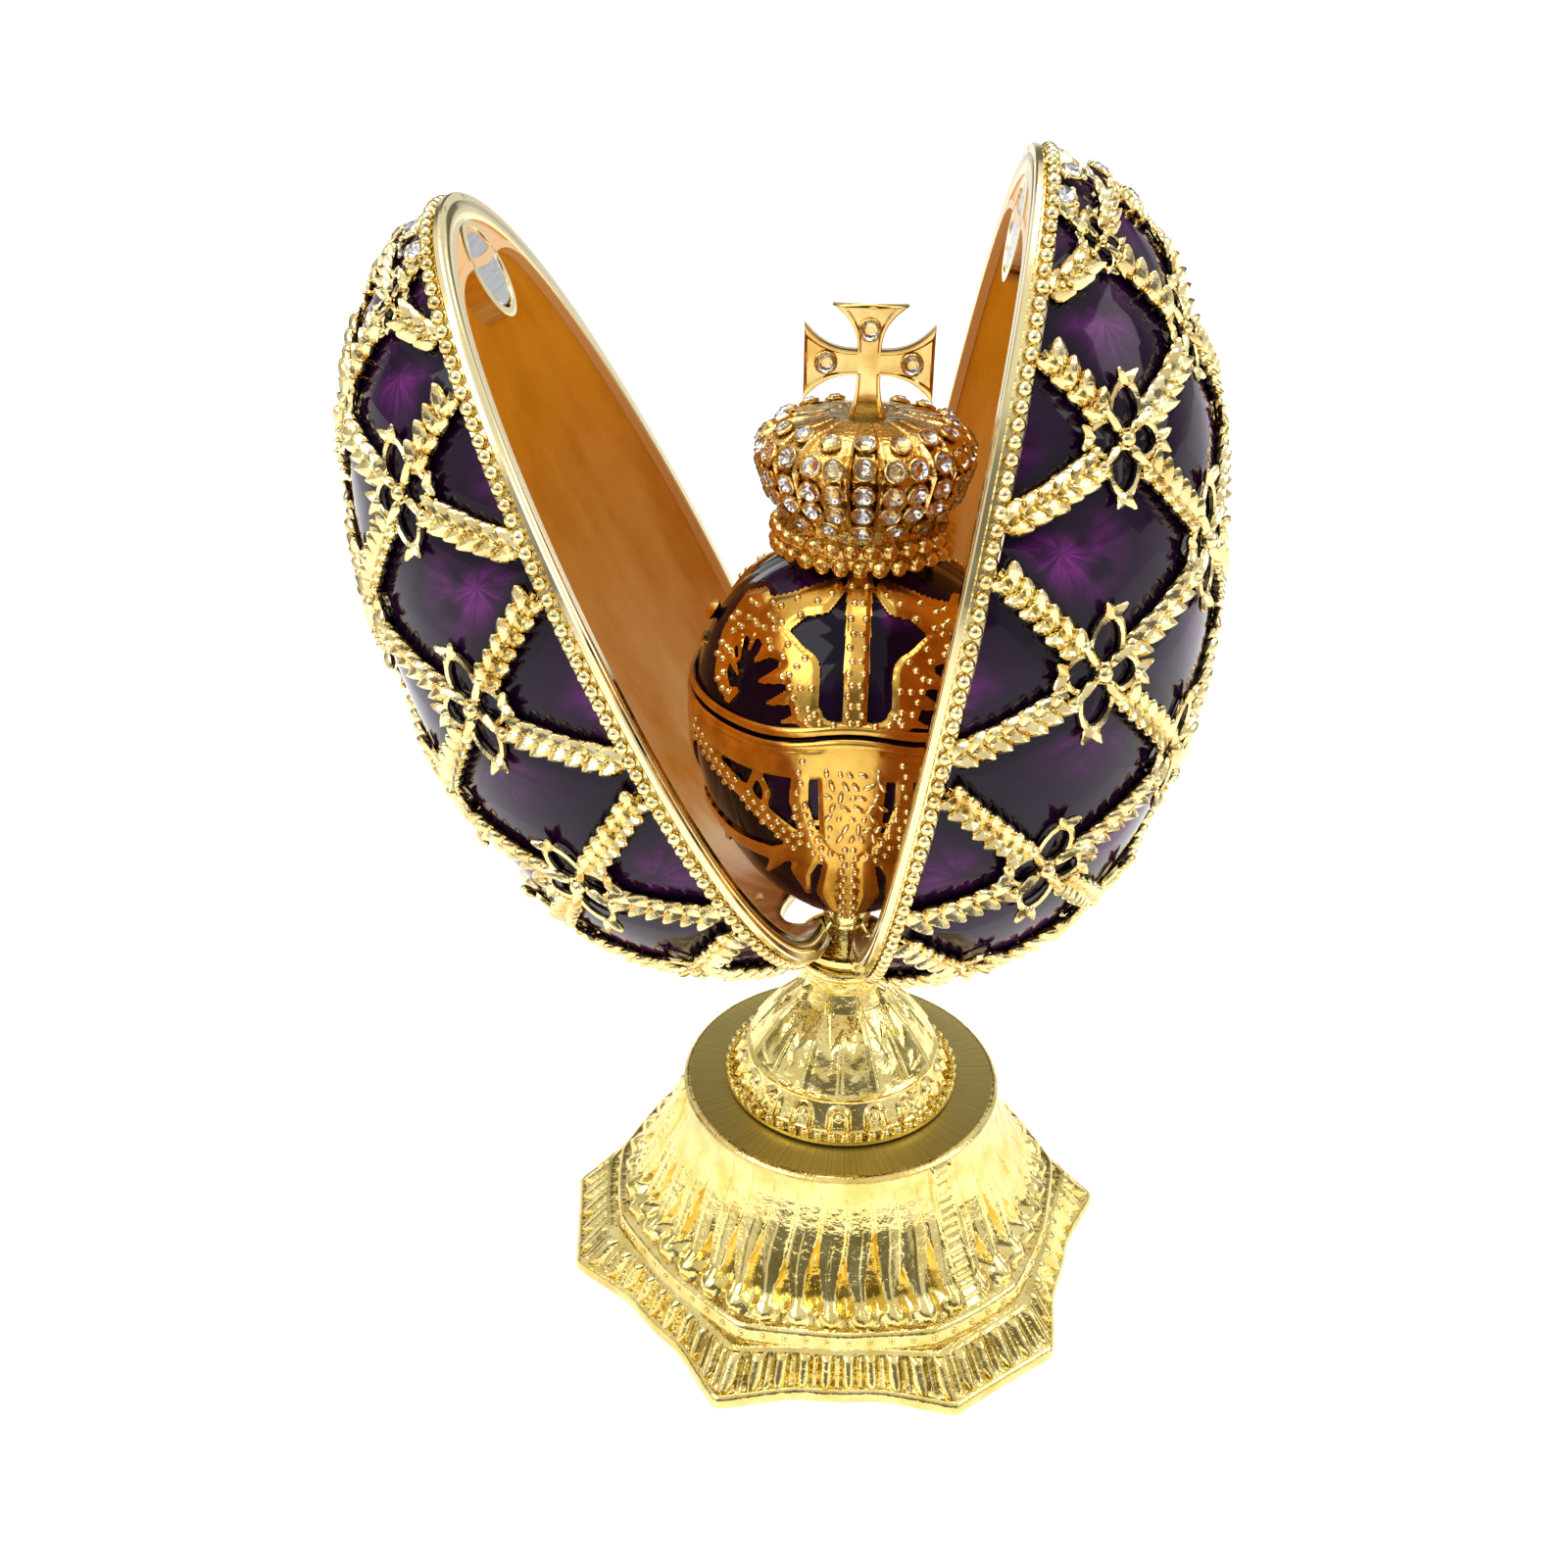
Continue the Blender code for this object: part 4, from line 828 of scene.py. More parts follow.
class EGGBOX_OT_rims(Operator):
    """Build the grooved rim mouldings with their rows of beads"""

    bl_idname = "eggbox.rims"
    bl_label = "Beaded rims"

    def execute(self, context):
        egg = OuterEgg()
        sizes = egg.sizes
        wall = sizes.wall
        width = sizes.rim_width
        outer = 0.0011
        ledge = 0.0003
        profile = (
            (0.0, -wall - 0.0002), (0.0, -0.62 * wall), (0.00022, -0.60 * wall),
            (0.00022, -0.44 * wall), (0.0, -0.42 * wall), (0.0, outer - 0.0002),
            (0.0002, outer), (0.0008, outer), (0.0010, outer - 0.0002), (0.0010, ledge),
            (width - 0.0002, ledge), (width, ledge - 0.0002), (width, -0.0006),
            (0.0012, -wall - 0.0002))
        points = len(profile)

        def place(across, up):
            aside, lift = profile[round(across * points) % points]
            near_tip = hump(up, 0.5, 0.10)
            if lift < -0.5 * wall:
                lift -= 0.0052 * near_tip
            return egg.rim_point(up, aside, lift)
        shape = closed_body(sheet(points, 260, place))
        for face in shape.faces:
            spot = face.calc_center_median()
            inner = egg_depth(egg, spot)
            face.material_index = 1 if inner > 0.60 * wall else 0
        add_pair("rim", shape, ["rim gold", "amber lacquer"], smooth=25.0)

        pearl = bead()
        beads = bmesh.new()
        steps = 1600
        travelled = 0.0
        due = 0.0
        before = egg.rim_point(0.0, 0.0, 0.0)
        for index in range(1, steps + 1):
            part = index / steps
            here = egg.rim_point(part, 0.0, 0.0)
            travelled += (here - before).length
            before = here
            if travelled < due:
                continue
            due += 2.04 * sizes.bead
            spot = egg.rim_point(part, 0.0021, ledge + 0.35 * sizes.bead)
            stamp(beads, pearl, Matrix.Translation(spot) @ scaled(sizes.bead))
        add_pair("rim_beads", beads, ["pale gold"], smooth=60.0)
        return {"FINISHED"}


def egg_depth(egg, spot):
    """About how far a spot lies inside the egg's outline."""
    turn = math.acos(max(-1.0, min(1.0, 1.0 - 2.0 * (spot.z - egg.bottom) / egg.height)))
    radius = egg.plain(turn)[0]
    return radius - math.hypot(spot.x, spot.y)


def lattice_bands(egg, low_level, high_level):
    """Start and step of each band, in column and level."""
    bands = []
    for level in range(low_level, high_level):
        for column in range(egg.columns + 1):
            if (column + level) % 2:
                continue
            for step in (-1, 1):
                if 0 <= column + step <= egg.columns:
                    bands.append((column, level, step))
    return bands


class EGGBOX_OT_lattice(Operator):
    """Lay the bands of laurel leaves and the petal knots over the enamel"""

    bl_idname = "eggbox.lattice"
    bl_label = "Leaf lattice"

    def execute(self, context):
        egg = OuterEgg()
        chance = random.Random(7)
        blade = leaf()
        drop = loop_ring(0.19, 0.25, 16)
        boss = bead(8, 5)
        shape = bmesh.new()
        for column, level, step in lattice_bands(egg, -3, 8):
            self.lay_band(egg, shape, blade, chance, column, level, step)
        for level in range(-2, 8):
            for column in range(1, egg.columns):
                if (column + level) % 2 == 0:
                    self.lay_knot(egg, shape, blade, drop, boss, column, level)
        add_pair("lattice", shape, ["pale gold"], smooth=50.0)
        return {"FINISHED"}

    def knot_size(self, egg, column, level):
        """Size of the knot at a crossing, and nothing where bands meet the rim."""
        if not 0 < column < egg.columns:
            return 0.0
        span = (egg.spot(column + 1, level) - egg.spot(column - 1, level)).length
        return min(1.0, span / 0.032)

    def lay_band(self, egg, shape, blade, chance, column, level, step):
        """One band: a low rib under two rows of leaves that lean out from it."""
        sizes = egg.sizes
        start = egg.spot(column, level)
        end = egg.spot(column + step, level + 1)
        span = (end - start).length
        clear = [0.0042 * self.knot_size(egg, *node)
                 for node in ((column, level), (column + step, level + 1))]
        free = []
        for index in range(41):
            part = index / 40.0
            spot = egg.spot(column + step * part, level + part)
            apart = min((spot - start).length - clear[0], (spot - end).length - clear[1])
            if spot.x > sizes.rim_width + 0.0002 and apart >= 0.0:
                free.append(part)
        if not free or span * (free[-1] - free[0]) < 0.5 * sizes.leaf:
            return
        narrow = min(1.0, span / 0.016)

        def rib(across, up):
            part = blend(free[0], free[-1], across)
            here = egg.place(column + step * part, level + part, (step, 1.0))
            rise = 0.7 * sizes.band_lift * (1.0 - (2.0 * up - 1.0) ** 2) - 0.0001
            pointed = math.sin(math.pi * blend(0.12, 0.88, across)) ** 0.5
            wide = 0.55 * sizes.band_width * narrow * pointed
            return here @ Vector((0.0, (up - 0.5) * wide, rise))
        strip = sheet(12, 4, rib)
        bmesh.ops.recalc_face_normals(strip, faces=strip.faces)
        bmesh.ops.solidify(strip, geom=strip.faces[:], thickness=0.0003)
        join(shape, strip)
        pairs = max(2, round(span * (free[-1] - free[0]) / (0.60 * sizes.leaf)))
        for index in range(pairs):
            part = blend(free[0], free[-1], (index + 0.4) / pairs)
            here = egg.place(column + step * part, level + part, (step, 1.0), 0.62 * sizes.band_lift)
            for side in (-1.0, 1.0):
                lean = side * math.radians(34.0 + chance.uniform(-6.0, 6.0))
                size = sizes.leaf * narrow * (1.0 + chance.uniform(-0.10, 0.10))
                aside = Matrix.Translation((0.0, side * 0.25 * sizes.band_width * narrow, 0.0))
                tilt = Matrix.Rotation(math.radians(-13.0), 4, "Y")
                turn = Matrix.Rotation(lean, 4, "Z")
                stamp(shape, blade, here @ aside @ turn @ tilt @ scaled(size, size, 0.9 * size))

    def lay_knot(self, egg, shape, blade, drop, boss, column, level):
        """A knot where bands cross: four open petals, leaf tips and a boss."""
        petal = 0.00215 * self.knot_size(egg, column, level)
        here = egg.place(column, level, (0.0, 1.0), 0.5 * egg.sizes.band_lift)
        for index in range(4):
            turn = here @ Matrix.Rotation(math.pi * index / 2.0, 4, "Z")
            longer = 1.25 if index % 2 == 0 else 0.95
            stamp(shape, drop, turn @ Matrix.Translation((1.3 * petal * longer, 0.0, 0.0))
                  @ scaled(longer * petal, 1.05 * petal, 1.2 * petal))
            for lean in (-38.0, 38.0):
                stamp(shape, blade, turn @ Matrix.Translation((2.45 * petal * longer, 0.0, 0.0002))
                      @ Matrix.Rotation(math.radians(lean), 4, "Z")
                      @ Matrix.Translation((0.5 * petal, 0.0, 0.0))
                      @ scaled(1.3 * petal, 1.2 * petal, 1.1 * petal))
            corner = here @ Matrix.Rotation(math.pi * (index + 0.5) / 2.0, 4, "Z")
            stamp(shape, blade, corner @ Matrix.Translation((1.5 * petal, 0.0, 0.0003))
                  @ scaled(2.0 * petal, 1.2 * petal, 1.2 * petal))
            stamp(shape, boss, corner @ Matrix.Translation((2.25 * petal, 0.0, 0.0002))
                  @ scaled(0.42 * petal))
        stamp(shape, boss, here @ Matrix.Translation((0.0, 0.0, 0.0004)) @ scaled(0.55 * petal))


class EGGBOX_OT_tips(Operator):
    """Set the crystals, their collars and the magnets at the tips"""

    bl_idname = "eggbox.tips"
    bl_label = "Tip jewels and magnets"

    def execute(self, context):
        egg = OuterEgg()
        sizes = egg.sizes
        stones = bmesh.new()
        settings = bmesh.new()
        gem = cut_stone()
        collar = loop_ring(0.17, 0.0, 16)
        mirror = foil()
        pearl = bead(8, 5)
        blade = leaf()
        radius = context.scene.egg_crown.stone
        level_at = (0.925 - egg.start) / egg.step
        spots = [(egg.columns * (index + 0.5) / 3.0, level_at) for index in range(3)]
        spots += [(egg.columns * part, (0.885 - egg.start) / egg.step)
                  for part in (0.09, 0.5, 0.91)]
        for column, level in spots:
            here = egg.place(column, level, (0.0, 1.0), 1.2 * sizes.band_lift)
            stamp(stones, gem, here @ scaled(radius))
            stamp(settings, collar, here @ scaled(1.05 * radius, 1.05 * radius, 1.6 * radius))
            stamp(settings, mirror, here @ scaled(radius), 1)
            for index in range(4):
                turn = Matrix.Rotation(math.pi * (index + 0.5) / 2.0, 4, "Z")
                stamp(settings, pearl, here @ turn @ Matrix.Translation((1.25 * radius, 0, 0))
                      @ scaled(0.35 * radius))
        for index in range(14):
            column = egg.columns * (index + 0.5) / 14.0
            here = egg.place(column, (0.957 - egg.start) / egg.step, (0.3, 1.0), 0.0004)
            stamp(settings, blade, here @ scaled(0.0026, 0.0020, 0.0016))
        for vert in settings.verts:
            vert.co.x = max(vert.co.x, sizes.gap / 2.0)
        add_pair("tip_stones", stones, ["clear crystal"],
                 [f"tip_stone_{index}" for index in (1, 2, 3)], 5.0)
        add_pair("tip_settings", settings, ["pale gold", "stone foil"], smooth=50.0)
        self.set_magnets(sizes)
        return {"FINISHED"}

    def set_magnets(self, sizes):
        """The bezel ring and the disc magnet, turned about the X axis."""
        radius = sizes.magnet
        lip = radius + 0.0003
        centre = Vector((sizes.gap / 2.0, 0.0, sizes.bottom + sizes.height - sizes.magnet_drop))
        face_on = Matrix.Translation(centre) @ Matrix.Rotation(-math.pi / 2.0, 4, "Y")
        bezel = turned([
            (-0.0034, 0.0010, 1), (-0.0034, radius + 0.0011, 1), (-0.0030, radius + 0.0016, 3),
            (-0.0001, radius + 0.0015, 1), (0.0, radius + 0.0012, 2), (0.0, lip + 0.0001, 1),
            (-0.0002, lip, 2), (-0.0020, lip, 1), (-0.0020, 0.0010, 1)], 48)
        bmesh.ops.transform(bezel, matrix=face_on, verts=bezel.verts)
        add_pair("magnet_bezel", bezel, ["rim gold"])
        disc = turned([
            (-0.0018, 0.0010, 1), (-0.0018, radius, 2), (-0.0004, radius, 1),
            (-0.0002, radius - 0.0002, 2), (-0.0002, 0.0006, 1)], 48)
        bmesh.ops.transform(disc, matrix=face_on, verts=disc.verts)
        add_pair("disc_magnet", disc, ["magnet steel"], ["magnet"])


class EGGBOX_OT_hinges(Operator):
    """Build the bracket with its dish, stem and knuckles, and the halves' lugs"""

    bl_idname = "eggbox.hinges"
    bl_label = "Bracket and hinges"

    def execute(self, context):
        stand = context.scene.egg_stand
        small = context.scene.egg_small
        joint = frame["joints"][0]
        pivot_out = abs(joint["pos_m"][0])
        pivot_up = joint["pos_m"][2]
        base = stand.neck_top + 0.0003
        rim = base + 0.0024
        stem_top = small.bottom - 0.0003
        bracket = turned([
            (base, stand.collar_radius - 0.0008, 4), (base + 0.0012, stand.dish_radius, 2),
            (rim - 0.0002, stand.dish_radius, 2), (rim, stand.dish_radius - 0.0003, 2),
            (rim, stand.dish_radius - 0.0008, 4), (rim - 0.0010, 0.0048, 5),
            (blend(rim, stem_top, 0.10), 0.0033, 5), (blend(rim, stem_top, 0.35), stand.stem_radius, 5),
            (blend(rim, stem_top, 0.8), stand.stem_radius, 3), (stem_top, stand.stem_radius + 0.0008, 1)],
            72)
        half_width = 0.0026
        bar = bmesh.new()
        bmesh.ops.create_cube(bar, size=1.0)
        bmesh.ops.transform(bar, verts=bar.verts, matrix=Matrix.Translation(
            (0.0, 0.0, pivot_up + 0.0009)) @ scaled(2.0 * pivot_out, 1.8 * half_width, 0.0018))
        bmesh.ops.bevel(bar, geom=bar.edges[:], offset=0.0003, segments=2, profile=0.5,
                        affect="EDGES", material=-1)
        for side in (-1.0, 1.0):
            bmesh.ops.create_cone(
                bar, cap_ends=True, segments=28, radius1=0.0020, radius2=0.0020,
                depth=2.0 * half_width, matrix=Matrix.Translation((side * pivot_out, 0.0, pivot_up))
                @ Matrix.Rotation(math.pi / 2.0, 4, "X"))
        for index in range(4):
            turn = Matrix.Rotation(math.pi * (index + 0.5) / 2.0, 4, "Z")
            root = turn @ Matrix.Translation((0.0036, 0.0, rim + 0.0004))
            stamp(bar, leaf(), root @ Matrix.Rotation(math.radians(-55.0), 4, "Y")
                  @ scaled(0.0055, 0.0030, 0.0024))
        join(bracket, bar)
        add_piece("bracket", bracket, ["stand gold"], "root", ["hinge_bracket"])

        lugs = bmesh.new()
        top = 0.0046
        for side in (-1.0, 1.0):
            made = bmesh.ops.create_circle(lugs, cap_ends=True, segments=24, radius=0.0020)
            for vert in made["verts"]:
                if vert.co.y > 0.0001:
                    vert.co.y += top
            turn = Matrix.Translation((pivot_out, side * (half_width + 0.0003), pivot_up)) \
                @ Matrix.Rotation(math.pi / 2.0, 4, "X")
            bmesh.ops.transform(lugs, matrix=turn, verts=made["verts"])
            faces = list({face for vert in made["verts"] for face in vert.link_faces})
            pushed = bmesh.ops.extrude_face_region(lugs, geom=faces, use_keep_orig=True)
            outer = [item for item in pushed["geom"] if isinstance(item, bmesh.types.BMVert)]
            bmesh.ops.translate(lugs, vec=(0.0, side * 0.0026, 0.0), verts=outer)
        bmesh.ops.recalc_face_normals(lugs, faces=lugs.faces)
        add_pair("hinge_lugs", lugs, ["pale gold"])
        for side in SIDES:
            pin = frame["nodes"][side + "_hinge_pin"]
            pin.data.materials.clear()
            pin.data.materials.append(bpy.data.materials["magnet steel"])
        return {"FINISHED"}


# Small egg

class SmallEgg:
    """The small egg's outline, read once from its sizes."""

    def __init__(self):
        sizes = bpy.context.scene.egg_small
        self.low = sizes.bottom - 0.0004
        self.high = sizes.top + 0.0006
        self.bottom = sizes.bottom
        self.top = sizes.top
        self.seam = sizes.seam
        self.width = sizes.radius
        self.taper = sizes.taper
        self.wave = sizes.wave
        self.wall = sizes.wall
        self.relief = sizes.relief
        self.foot = bpy.context.scene.egg_stand.stem_radius + 0.0010

    def radius(self, height):
        """The outer radius at a height."""
        part = min(max((height - self.low) / (self.high - self.low), 0.0), 1.0)
        turn = math.acos(1.0 - 2.0 * part)
        return max(self.foot, self.width * math.sin(turn) * (1.0 + self.taper * math.cos(turn)))

    def rise(self, angle):
        """How far the wavy seam rises at an angle."""
        return self.wave * max(0.0, math.cos(2.0 * angle + math.pi)) ** 4

    def point(self, angle, height, lift=0.0):
        """A point of the surface, moved outwards by a lift."""
        slope = (self.radius(height + 0.0002) - self.radius(height - 0.0002)) / 0.0004
        size = math.hypot(1.0, slope)
        radius = self.radius(height) + lift / size
        return Vector((radius * math.cos(angle), radius * math.sin(angle),
                       height - lift * slope / size))

    def place(self, angle, height, toward, lift=0.0):
        """A matrix on the surface with Z outwards and X towards (angle, height) steps."""
        here = self.point(angle, height, lift)
        outward = self.point(angle, height, lift + 0.001) - here
        ahead = self.point(angle + 0.01 * toward[0], height + 0.01 * toward[1], lift) - here
        return look_along(here, outward, ahead)


LID_STROKES = (
    ((0.0, 0.0, 1.5), (0.0, 21.0, 1.5)),
    ((1.0, 0.2, 1.4), (4.2, 1.4, 1.3), (6.2, 3.4, 1.7), (6.6, 6.0, 2.1), (6.8, 8.6, 2.3),
     (8.4, 10.2, 1.6), (10.8, 11.2, 1.8),
     (14.2, 13.0, 1.9), (18.0, 11.8, 2.0), (20.4, 8.8, 1.9), (20.6, 5.2, 1.5), (18.4, 3.2, 0.9),
     (16.8, 4.2, 0.4)),
    ((2.9, 16.6, 0.8), (4.6, 15.7, 1.2), (7.2, 15.0, 1.1), (9.6, 13.8, 1.5), (12.2, 13.0, 1.6)),
    ((5.0, 3.4, 1.0), (9.2, 2.2, 0.2)), ((7.2, 5.8, 1.1), (11.4, 4.2, 0.2)),
    ((8.8, 8.0, 1.1), (12.8, 6.4, 0.2)), ((11.0, 10.6, 1.1), (13.8, 8.4, 0.2)),
    ((14.2, 12.4, 1.1), (15.2, 9.2, 0.2)), ((17.4, 11.4, 1.0), (16.8, 7.8, 0.2)),
    ((19.4, 8.2, 1.0), (16.8, 6.2, 0.2)),
    ((0.0, 0.5, 1.3), (5.0, 0.3, 1.0), (12.0, 0.2, 0.5)),
    ((35.0, 2.0, 0.8), (35.0, 9.0, 1.9), (35.0, 12.5, 0.3)),
    ((35.0, 8.0, 1.0), (30.5, 10.5, 0.3)), ((35.0, 5.0, 1.0), (30.8, 5.2, 0.3)),
    ((26.0, 20.0, 1.0), (30.0, 16.0, 1.4), (35.0, 15.5, 0.8)))
CUP_STROKES = (
    ((0.0, -3.0, 1.9), (40.0, -3.0, 1.9)),
    ((0.0, -3.0, 4.4), (0.0, -12.5, 3.8), (0.0, -16.0, 1.6)),
    ((0.0, -14.0, 1.4), (0.0, -32.0, 1.4)),
    ((6.4, -2.0, 1.1), (6.8, -8.0, 1.2), (5.2, -13.5, 1.2), (2.0, -17.5, 1.2)),
    ((27.0, -3.5, 1.3), (15.0, -8.8, 1.3), (6.0, -15.2, 1.6)),
    ((12.6, -5.0, 0.5), (11.2, -7.6, 0.5), (11.8, -10.6, 0.5), (13.0, -10.6, 0.5),
     (14.0, -7.6, 0.5), (12.8, -5.0, 0.5)),
    ((5.6, -15.6, 1.8), (10.0, -18.0, 1.4), (17.0, -18.4, 1.2), (26.0, -17.0, 1.2),
     (35.0, -18.5, 1.3)),
    ((4.6, -15.5, 1.5), (6.4, -20.0, 1.4), (5.4, -25.0, 0.3)),
    ((9.0, -17.5, 1.2), (11.6, -22.5, 0.3)), ((2.0, -17.0, 1.2), (2.8, -24.0, 1.4), (1.6, -29.0, 1.0)),
    ((35.0, -3.0, 1.4), (35.0, -26.0, 1.3)), ((28.0, -4.0, 1.2), (33.0, -12.0, 1.2), (34.0, -18.0, 1.0)),
    ((19.0, -18.0, 1.0), (22.0, -23.0, 0.3)))


def stroke_gap(strokes, x, y):
    """Distance from a spot to the nearest stroke's edge, less than nought inside it."""
    least = 99.0
    for stroke in strokes:
        for (x0, y0, half0), (x1, y1, half1) in zip(stroke, stroke[1:]):
            run, climb = x1 - x0, y1 - y0
            part = ((x - x0) * run + (y - y0) * climb) / (run * run + climb * climb)
            part = min(max(part, 0.0), 1.0)
            apart = math.hypot(x - x0 - run * part, y - y0 - climb * part)
            least = min(least, apart - blend(half0, half1, part))
    return least


class Relief:
    """Raised gold cut to a pattern of strokes, mirrored about the straps at front and back.

    The strokes are in millimetres aside from the strap and up from the seam.
    """

    def __init__(self, egg, strokes, low, high):
        self.egg = egg
        self.strokes = strokes
        self.low = low
        self.high = high

    def spot(self, across, up):
        """The angle and height at a share round the egg and a share up the band."""
        angle = 2.0 * math.pi * across - 0.5 * math.pi
        wavy = self.low if self.low > 0.0 else self.high
        start = self.egg.seam + self.low
        end = self.egg.seam + self.high
        rise = self.egg.rise(angle) * ((1.0 - up) if wavy == self.low else up) ** 4
        return angle, blend(start, end, up) + rise

    def gap(self, across, up):
        """Distance to the pattern's edge, in millimetres."""
        angle, height = self.spot(across, up)
        aside = (2.0 * across) % 1.0
        aside = min(aside, 1.0 - aside) * math.pi
        return stroke_gap(self.strokes, aside * 1000.0 * self.egg.radius(height),
                          1000.0 * (blend(self.low, self.high, up)))

    def plate(self, columns, rows):
        """The pattern as a thin raised plate whose edges are rounded off."""
        shape = sheet(columns, rows, lambda across, up: Vector((across, up, 0.0)))
        values = {}
        for vert in shape.verts:
            value = self.gap(vert.co.x, vert.co.y)
            if abs(value) < 0.28:
                step = 0.0008
                slope_x = (self.gap(vert.co.x + step, vert.co.y) - value) / step
                slope_y = (self.gap(vert.co.x, min(vert.co.y + step, 1.0)) - value) / step
                size = (slope_x / columns) ** 2 + (slope_y / rows) ** 2
                if size > 1e-9 and 0.0 < vert.co.y < 1.0:
                    move = min(max(value / size, -0.45 / math.sqrt(size)), 0.45 / math.sqrt(size))
                    vert.co.x -= move * slope_x / columns ** 2
                    vert.co.y -= move * slope_y / rows ** 2
                    value = 0.0
            values[vert.index] = value
        bare = [face for face in shape.faces
                if sum(values[vert.index] for vert in face.verts) > 0.02]
        for vert in shape.verts:
            inner = smooth_step(0.0, 0.6, -values[vert.index])
            angle, height = self.spot(vert.co.x, min(max(vert.co.y, 0.0), 1.0))
            vert.co = self.egg.point(angle, height, self.egg.relief * blend(0.55, 1.0, inner))
        bmesh.ops.delete(shape, geom=bare, context="FACES")
        bmesh.ops.remove_doubles(shape, verts=shape.verts, dist=2e-6)
        bmesh.ops.recalc_face_normals(shape, faces=shape.faces)
        shape.faces.ensure_lookup_table()
        first = shape.faces[0]
        middle = Vector((0.0, 0.0, self.egg.seam))
        if first.normal.dot(first.calc_center_median() - middle) < 0.0:
            bmesh.ops.reverse_faces(shape, faces=shape.faces)
        bmesh.ops.solidify(shape, geom=shape.faces[:], thickness=1.1 * self.egg.relief)
        bmesh.ops.recalc_face_normals(shape, faces=shape.faces)
        return shape

    def stipple(self, shape, pearl, pitch, radius, material):
        """Beads along the strokes, two or three abreast, on all four quarters."""
        for stroke in self.strokes:
            for (x0, y0, half0), (x1, y1, half1) in zip(stroke, stroke[1:]):
                length_mm = math.hypot(x1 - x0, y1 - y0)
                for index in range(int(length_mm / pitch)):
                    part = (index + 0.5) * pitch / length_mm
                    half = blend(half0, half1, part)
                    if half < 0.7:
                        continue
                    abreast = max(1, round(1.7 * half / pitch))
                    for row in range(abreast):
                        offset = (row - (abreast - 1) / 2.0) * pitch * 1.05 \
                            + (index % 2 - 0.5) * 0.3 * pitch
                        x = blend(x0, x1, part) - (y1 - y0) / length_mm * offset
                        y = blend(y0, y1, part) + (x1 - x0) / length_mm * offset
                        self.bead_at(shape, pearl, x, y, radius, material)

    def bead_at(self, shape, pearl, x, y, radius, material):
        """The beads at a spot of the pattern, one on each quarter of the egg."""
        up = (0.001 * y - self.low) / (self.high - self.low)
        if not 0.01 < up < 0.99 or x < -0.2:
            return
        height = self.spot(0.25, up)[1]
        across = 0.001 * x / self.egg.radius(height) / (2.0 * math.pi)
        for middle, side in ((0.0, 1.0), (0.0, -1.0), (0.5, 1.0), (0.5, -1.0)):
            if (x < 0.2 and side < 0.0) or across > 0.252:
                continue
            angle, height = self.spot(middle + side * across, up)
            spot = self.egg.place(angle, height, (0.0, 1.0), 0.95 * self.egg.relief)
            stamp(shape, pearl, spot @ scaled(radius), material)


def shell_body(egg, low, high, columns, rows, wavy_low, wavy_high):
    """A hollow band of the small egg between two heights, closed all round."""
    def outer_height(part, angle):
        start = low + (egg.rise(angle) if wavy_low else 0.0)
        end = high + (egg.rise(angle) if wavy_high else 0.0)
        return blend(start, end, part)

    def place(across, up):
        angle = 2.0 * math.pi * across
        if up <= 0.5:
            height = outer_height(2.0 * up, angle)
            return egg.point(angle, height)
        height = outer_height(2.0 * (1.0 - up), angle)
        floor = egg.bottom + 0.0040 if not wavy_low else low
        ceiling = egg.top - egg.wall if not wavy_high else high + egg.wave
        height = min(max(height, floor), ceiling)
        radius = max(egg.radius(height) - egg.wall, 0.0008)
        return Vector((radius * math.cos(angle), radius * math.sin(angle), height))
    return closed_body(sheet(columns, 2 * rows, place))


